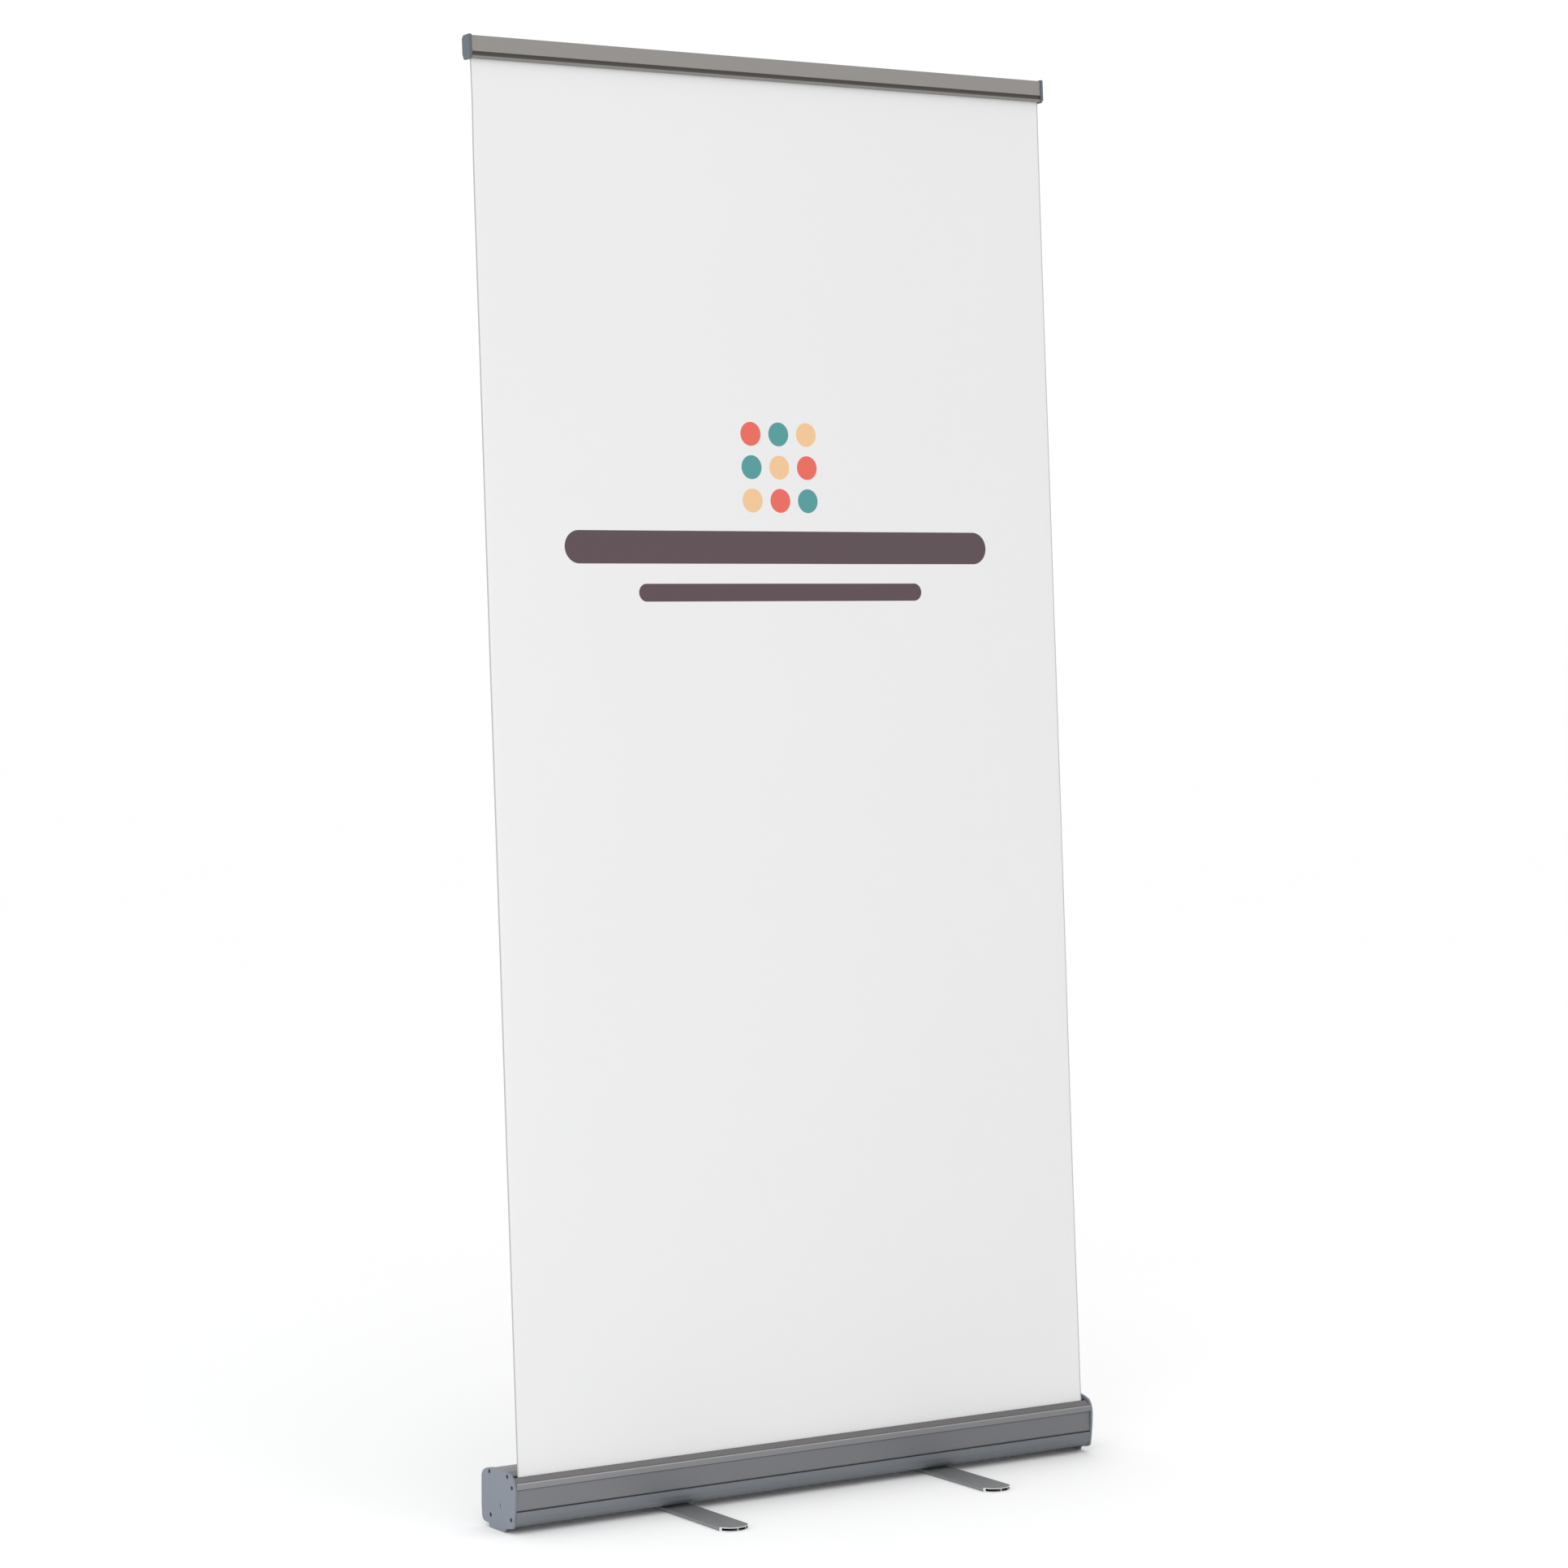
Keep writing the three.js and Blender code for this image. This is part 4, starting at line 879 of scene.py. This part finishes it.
class BANNERSTAND_OT_banner(bpy.types.Operator):
    """Banner film between the slot and the rail, and its lead down to the roller"""

    bl_idname = "bannerstand.banner"
    bl_label = "Banner"

    def execute(self, context):
        sizes = context.scene.stand_sizes
        width, height, film = sizes.banner_width, sizes.banner_height, sizes.film
        # Closer columns near the side edges, where the film curls.
        columns = width / 2 * np.sin(np.linspace(-1, 1, 141) * math.pi / 2)
        rows = np.linspace(0, height + CLAMPED, 201)
        s, x = np.meshgrid(rows, columns, indexing="ij")
        out = film_offset(x, s, width, height, sizes)[..., None]
        plane = SLOT + x[..., None] * ACROSS + s[..., None] * UP - out * BACK
        banner = slab("banner_film", plane - film / 2 * BACK, plane + film / 2 * BACK)
        mesh = banner.data
        corners = np.empty(len(mesh.loops), np.int32)
        mesh.loops.foreach_get("vertex_index", corners)
        chart = np.column_stack(((x / width + 0.5).ravel(), (s / height).ravel()))
        chart = np.vstack((chart, chart))[corners].astype(np.float32)
        mesh.uv_layers.new(name=FILM_CHART).data.foreach_set("uv", chart.ravel())
        wear(banner, "film", "film_back")
        # The first faces are the printed front, and the back and the rim come after them.
        unprinted = np.arange(len(mesh.polygons)) >= len(quads(*x.shape))
        mesh.polygons.foreach_set("material_index", unprinted.astype(np.int32))
        own(banner, "base", "banner_film", "banner_sheet")
        keep = 1 - TRAVEL / height
        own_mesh(banner)
        self.lead(width, film)
        return {"FINISHED"}

    def lead(self, width, film):
        """A flat strip from the slot to the wound turns, which it meets at a tangent.

        It leaves the line to the roller's axis by the angle asin(clear / distance), and is
        sqrt(distance^2 - clear^2) long, with clear the radius where it touches the turns.
        """
        to_axis = ROLLER[1:] - SLOT[1:]
        clear = 15.8 * MM
        swing = math.atan2(to_axis[1], to_axis[0]) - math.asin(clear / np.linalg.norm(to_axis))
        way = np.array([0, math.cos(swing), math.sin(swing)])
        normal = np.array([0, -way[2], way[1]])
        down = np.linspace(0, math.sqrt(to_axis @ to_axis - clear**2), 12)
        ends = np.array([-width / 2, width / 2])
        middle = SLOT + ends[None, :, None] * ACROSS + down[:, None, None] * way
        lead = slab("banner_lead", middle - film / 2 * normal, middle + film / 2 * normal)
        wear(lead, "film_back")
        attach(lead, "base")


def raised(outline):
    """A rail outline moved up to the banner's top."""
    return outline + (0, bpy.context.scene.stand_sizes.banner_height / MM)


class BANNERSTAND_OT_rail(bpy.types.Operator):
    """Clamp rail: front flap with its groove, and back with the hook channel"""

    bl_idname = "bannerstand.rail"
    bl_label = "Rail"

    def execute(self, context):
        half = context.scene.stand_sizes.banner_width / 2
        front = rounded(
            [(-7.4, 0), (-0.6, 0), (-0.6, 3), (-5.2, 3), (-5, 4), (-5, 9), (-6.2, 10), (-6.2, 31),
             (-6.8, 32), (-7.2, 32), (-8, 31.2), (-8, 8), (-6.8, 8), (-6.8, 5), (-7.8, 5),
             (-7.8, 0.6)],
            [0.3, 0.4, 0.4, 0.3, 0.3, 0.5, 0.5, 0.3, 0.2, 0.3, 0.6, 0.35, 0.25, 0.25, 0.35, 0.5], 4)
        back = rounded(
            [(0.6, 0), (8, 0), (8, 26), (10.4, 26), (10.4, 17), (12, 17), (12, 27.6), (8, 30.6),
             (8, 32), (-4.3, 32), (-4.3, 30.2), (6.2, 30.2), (6.2, 3), (0.6, 3)],
            [0.4, 0.8, 0.3, 0.4, 0.3, 0.6, 1.2, 1.0, 0.8, 0.4, 0.4, 0.8, 0.5, 0.4], 4)
        for name, outline, body, node in (
            ("rail_flap_front", front, "rail_flap", "rail_front"),
            ("rail_back_channel", back, "top_rail", "rail_back"),
        ):
            made = wear(bar(name, raised(outline), -half, half, mast_points), "rail")
            own(made, body, "rail_aluminium", node)
        face = rounded(
            [(-5.5, -1.5), (8, -1.5), (12, 6.5), (12, 29.5), (8, 33.5), (-8.5, 33.5),
             (-9.5, 32.5), (-9.5, 2.5)], 1.2, 4)
        tongue = box_outline((0.6, 16.3), (5.9, 29.9))
        for word, side in SIDES:
            name = "rail_cap_" + word
            low, high = sorted((side * (half + 0.3 * MM), side * (half + 5.3 * MM)))
            cap = cushion(name + "_face", raised(face), low, high, 1.1, mast_points, SQUARE, 3)
            low, high = sorted((side * (half - 14 * MM), side * (half + 1 * MM)))
            combine(cap, "UNION", bar("tab", raised(tongue), low, high, mast_points), sharp=SQUARE)
            wear(cap, "cap")
            own(cap, "top_rail", "cap_plastic", name)
        return {"FINISHED"}


class BANNERSTAND_OT_pole(bpy.types.Operator):
    """Three telescopic tubes, the socket they stand in and the head on top"""

    bl_idname = "bannerstand.pole"
    bl_label = "Pole"

    def execute(self, context):
        wall, ease = 1.2, 0.3
        for i, (node, body, radius) in enumerate((
            ("pole_lower", "base", 11.0),
            ("pole_middle", "pole_section", 9.5),
            ("pole_upper", "top_rail", 8.0),
        )):
            high = tube_top(i)
            low, bore = high - TUBE_LENGTH, radius - wall
            ring = [(bore, low + ease), (bore + ease, low), (radius - ease, low),
                    (radius, low + ease), (radius, high - ease), (radius - ease, high),
                    (bore + ease, high), (bore, high - ease)]
            tube = wear(turned(node + "_tube", ring, POLE, UP), "pole")
            own(tube, body, "pole_aluminium", node)
        cup = rounded(
            [(0, -18), (14, -18), (14, 12.8), (17, 12.8), (17, 15), (16, 16), (11.3, 16),
             (11.3, -15), (0, -15)],
            [0, 1, 0.8, 0.5, 0.5, 0.4, 0.5, 0.8, 0], 4)
        start = np.argmax(cup[:, 0] < 1e-6)
        socket = turned("pole_socket_cup", np.roll(cup, -start, 0), POLE, UP, 72)
        wear(socket, "black")
        own(socket, "base", "black_plastic", "pole_socket")
        self.head()
        refinish("nylon", "middle_slide_bush", "upper_slide_bush")
        refinish("black", "pole_foot_plug")
        return {"FINISHED"}

    def head(self):
        """A capped sleeve with an arm and a hook that stands in the rail's channel."""
        top, radius, outer = 2018.6, 8.3, 12.0
        profile = [
            (0, top + 0.3), (radius, top + 0.3), (radius, top - 30), (radius + 0.4, top - 30.4),
            (outer - 0.4, top - 30.4), (outer, top - 30), (outer, top + 3.4),
            (outer - 0.5, top + 4.4), (outer - 1.5, top + 5.2), (outer - 3, top + 5.5),
            (0, top + 5.5),
        ]
        head = turned("pole_head_sleeve", profile, POLE, UP, 72)
        channel_top, side = 2026.0, 15 * MM
        arm_top = channel_top - 9.3
        web = [(8.9, arm_top - 6.8), (37, top - 29), (37, arm_top - 0.2), (8.9, arm_top - 0.2)]
        seat = box_outline((8.3, arm_top - 4), (13.1, arm_top))
        hook = box_outline((8.4, arm_top - 3.8), (10.1, channel_top - 0.3))
        # Each is rounded by its radius and reaches its share of side to left and right. The
        # shares and edges differ a little, so that no two faces lie in one plane.
        parts = [
            bar(name, rounded(outline, radius, 3), -share * side, share * side, mast_points)
            for name, outline, radius, share in (
                ("web", web, 0.6, 0.4), ("seat", seat, 0.4, 1.0), ("hook", hook, 0.5, 0.98))
        ]
        combine(head, "UNION", *parts)
        wear(head, "black")
        own(head, "top_rail", "black_plastic", "pole_head")


def grip(depth, grooves, low, high):
    """Shallow grooves round a collar: r falls by depth |sin(n a / 2)|^6 between two heights."""
    def shape(r, h, a):
        band = np.clip((h - low) / 0.002, 0, 1) * np.clip((high - h) / 0.002, 0, 1)
        outside = r > 0.0140
        return r - depth * band * outside * np.abs(np.sin(grooves * a / 2)) ** 6, h
    return shape


class BANNERSTAND_OT_collars(bpy.types.Operator):
    """Twist-lock collars with grooved grips"""

    bl_idname = "bannerstand.collars"
    bl_label = "Lock collars"

    def execute(self, context):
        sizes = context.scene.stand_sizes
        for i, (body, lower, upper) in enumerate((
            ("collar_lower", 11.3, 9.8), ("collar_upper", 9.8, 8.3),
        )):
            seat = round(tube_top(i), 3)
            low, high = seat - 24, seat + 18
            profile = [
                (lower, low + 0.3), (lower + 0.3, low), (13.5, low), (14.5, low + 0.5),
                (15, low + 1.5), *[(15, z) for z in np.linspace(low + 3, high - 10, 14)],
                (15, high - 8.4), (14.7, high - 7.2), (upper + 3.4, high - 0.5),
                (upper + 2.6, high), (upper + 0.3, high), (upper, high - 0.3),
                (upper, seat + 0.3), (lower, seat + 0.3),
            ]
            shape = grip(sizes.grip_depth, sizes.grip_grooves, (low + 4) * MM, (high - 11) * MM)
            node = "lock_" + body
            collar = turned(node + "_grip", profile, POLE, UP, 240, shape, SQUARE)
            wear(collar, "black")
            own(collar, body, "black_plastic", node)
        return {"FINISHED"}


def foot_end(x, half, tip):
    """A foot's rounded end: y = tip + depth (1 - sqrt(1 - (x / half)^2))."""
    return tip + FOOT_ROUND * (1 - np.sqrt(np.clip(1 - (x / half) ** 2, 0, 1)))


class BANNERSTAND_OT_feet(bpy.types.Operator):
    """Swivel feet: flat chambered extrusions with a rounded, sawn tip.

    Across x the underside rises by r - sqrt(r^2 - over^2), with r the long edges' rounding and
    over the distance past the flat, and the top falls by the same.
    """

    bl_idname = "bannerstand.feet"
    bl_label = "Feet"

    def execute(self, context):
        for word, _ in SIDES:
            low, high = node_box("foot_" + word)
            middle, half = (low[0] + high[0]) / 2, (high[0] - low[0]) / 2
            tip, tail, thick = low[1], high[1], high[2] - low[2]
            x = half * np.sin(np.linspace(-1, 1, 61) * math.pi / 2)
            over = np.clip(np.abs(x) - (half - FOOT_EASE), 0, FOOT_EASE)
            lift = FOOT_EASE - np.sqrt(FOOT_EASE**2 - over**2)
            skin_x = np.concatenate((x, x[::-1]))
            skin_z = np.concatenate((lift, thick - lift[::-1]))
            near = foot_end(skin_x, half, tip)
            y = near + (tail - near) * np.linspace(0, 1, 6)[:, None]
            points = np.stack((middle + np.broadcast_to(skin_x, y.shape), y,
                               low[2] + np.broadcast_to(skin_z, y.shape)), -1)
            # Each end is closed by strips from the underside to the top.
            count, k = len(skin_x), np.arange(len(x) - 1)
            end = np.stack((k, k + 1, count - 2 - k, count - 1 - k), 1)
            faces = np.vstack((quads(6, count, wrap_columns=True), end[:, ::-1], end + 5 * count))
            foot = piece("foot_" + word + "_bar", points, faces.tolist())
            pivot = np.array([middle, tail - 0.038, 0.0])
            combine(
                foot, "DIFFERENCE", *self.chambers(middle, half, thick, low[2], tip, tail),
                drill(7.5, -1, 4.9, pivot, UPRIGHT), drill(3.3, -1, 8, pivot, UPRIGHT, 32),
            )
            wear(foot, "foot", "sawn")
            self.mark_sawn(foot, middle, half, tip, tail)
            own(foot, word + "_foot", "foot_aluminium", "foot_" + word)
            self.fixings(word, pivot)
        return {"FINISHED"}

    def chambers(self, middle, half, thick, floor, tip, tail):
        """Three rooms that run the foot's length, between its side walls and two ribs."""
        wall, rib, skin = 1.7, 0.55, 1.1

        def place(outline, y):
            return np.column_stack(
                (middle + outline[:, 0] * MM, np.full(len(outline), y), floor + outline[:, 1] * MM))

        edges = (np.array([0, 0.45, 0.76, 1]) * 2 - 1) * half / MM
        left, right = edges[:-1] + (wall, rib, rib), edges[1:] - (rib, rib, wall)
        return [
            bar("room", rounded(box_outline((a, skin), (b, thick / MM - skin)), 0.5, 3),
                tip - 2 * MM, tail + 2 * MM, place)
            for a, b in zip(left, right)
        ]

    def mark_sawn(self, foot, middle, half, tip, tail):
        """Bare metal where an upright face lies on the rounded end or on the straight tail."""
        faces = foot.data.polygons
        centre, normal = (np.empty(len(faces) * 3, np.float32) for _ in range(2))
        faces.foreach_get("center", centre)
        faces.foreach_get("normal", normal)
        x, y, _ = centre.reshape(-1, 3).T
        _, forward, level = normal.reshape(-1, 3).T
        on_end = (np.abs(y - foot_end(x - middle, half, tip)) < 0.0012) & (forward < -0.2)
        sawn = (np.abs(level) < 0.3) & (on_end | (y > tail - 0.0004))
        faces.foreach_set("material_index", sawn.astype(np.int32))

    def fixings(self, word, pivot):
        """The bolt that a foot turns on, and its washer and nut."""
        bolt = [(0, 2.4), (4.4, 2.4), (5.6, 2.9), (6, 3.6), (6, 4.6), (3, 4.6), (3, 16.4),
                (2.6, 16.8), (0, 16.8)]
        washer = [(3.3, 6.3), (14.7, 6.3), (15, 6.6), (15, 9.4), (14.7, 9.7), (3.3, 9.7)]
        for kind, profile, finish in (("bolt", bolt, "steel"), ("washer", washer, "nylon")):
            node = f"foot_{word}_{kind}"
            made = wear(turned(node + "_turned", profile, pivot, UPRIGHT, 48), finish)
            own(made, "base", finish, node)
        refinish("steel", f"foot_{word}_nut")


class BANNERSTAND_OT_stage(bpy.types.Operator):
    """Plain pale floor, soft light and the camera"""

    bl_idname = "bannerstand.stage"
    bl_label = "Stage"

    def execute(self, context):
        scene = context.scene
        scene.view_settings.view_transform = "Standard"
        reach = 80.0
        corners = [(-reach, -reach, 0), (reach, -reach, 0), (reach, reach, 0), (-reach, reach, 0)]
        mesh = bpy.data.meshes.new("floor")
        mesh.from_pydata(corners, [], [(0, 1, 2, 3)])
        floor = bpy.data.objects.new("floor", mesh)
        scene.collection.objects.link(floor)
        look = Look("pale floor")
        soft = look.noise(1.5, 2.0, 0.5)
        mesh.materials.append(look.finish(
            Base_Color=look.mix(soft, (0.965, 0.965, 0.965), (0.975, 0.975, 0.975)),
            Roughness=0.7 + 0.05 * soft, Specular_IOR_Level=0.1))

        world = bpy.data.worlds.new("soft studio")
        world.use_nodes = True
        back = world.node_tree.nodes["Background"]
        back.inputs["Color"].default_value = (1, 1, 1, 1)
        back.inputs["Strength"].default_value = 1.03
        scene.world = world
        self.panel("key light", (-2.6, -3.4, 3.2), (0, 0, 1.0), 2.4, 20)
        self.panel("side light", (-3.2, 0.4, 0.9), (-0.5, 0, 0.3), 1.2, 11, (0.80, 0.90, 1.0))
        self.panel("low light", (-2.6, -1.2, 0.4), (-0.4, 0, 0.05), 0.8, 7)

        camera = bpy.data.cameras.new("camera")
        camera.lens, camera.sensor_width = 96.28, 36.0
        camera.clip_start, camera.clip_end = 0.1, 200.0
        holder = bpy.data.objects.new("camera", camera)
        scene.collection.objects.link(holder)
        downward, turn = 2.8327, 33.6133
        holder.location = (-3.4253, -5.0894, 1.3471)
        holder.rotation_euler = (math.radians(90 - downward), 0, math.radians(-turn))
        scene.camera = holder
        return {"FINISHED"}

    def panel(self, name, place, target, size, power, tint=(1, 1, 1)):
        """A square soft light that faces a point."""
        lamp = bpy.data.lights.new(name, "AREA")
        lamp.color, lamp.size, lamp.energy = tint, size, power
        holder = bpy.data.objects.new(name, lamp)
        bpy.context.scene.collection.objects.link(holder)
        holder.location = place
        away = holder.location - type(holder.location)(target)
        holder.rotation_euler = away.to_track_quat("Z", "Y").to_euler()


OPERATORS = (
    BANNERSTAND_OT_stage, BANNERSTAND_OT_cassette, BANNERSTAND_OT_end_plates, BANNERSTAND_OT_screws,
    BANNERSTAND_OT_roller, BANNERSTAND_OT_banner, BANNERSTAND_OT_rail, BANNERSTAND_OT_pole,
    BANNERSTAND_OT_collars, BANNERSTAND_OT_feet,
)


class BANNERSTAND_PT_tools(bpy.types.Panel):
    """Lists the stand's pieces, sizes and colours"""

    bl_idname = "BANNERSTAND_PT_tools"
    bl_label = "Banner Stand"
    bl_space_type = "VIEW_3D"
    bl_region_type = "UI"
    bl_category = "Banner Stand"

    def draw(self, context):
        for operator in OPERATORS:
            self.layout.operator(operator.bl_idname)
        for group in (context.scene.stand_sizes, context.scene.stand_colours):
            for name in group.bl_rna.properties.keys():
                if name not in ("rna_type", "name"):
                    self.layout.prop(group, name)


CLASSES = (StandSizes, StandColours, *OPERATORS, BANNERSTAND_PT_tools)


def register():
    for each in CLASSES:
        bpy.utils.register_class(each)
    bpy.types.Scene.stand_sizes = PointerProperty(type=StandSizes)
    bpy.types.Scene.stand_colours = PointerProperty(type=StandColours)


def unregister():
    del bpy.types.Scene.stand_colours
    del bpy.types.Scene.stand_sizes
    for each in reversed(CLASSES):
        bpy.utils.unregister_class(each)


def main():
    register()
    bpy.ops.bannerstand.stage()
    bpy.ops.bannerstand.cassette()
    bpy.ops.bannerstand.end_plates()
    bpy.ops.bannerstand.screws()
    bpy.ops.bannerstand.roller()
    bpy.ops.bannerstand.banner()
    bpy.ops.bannerstand.rail()
    bpy.ops.bannerstand.pole()
    bpy.ops.bannerstand.collars()
    bpy.ops.bannerstand.feet()


if __name__ == "__main__":
    main()
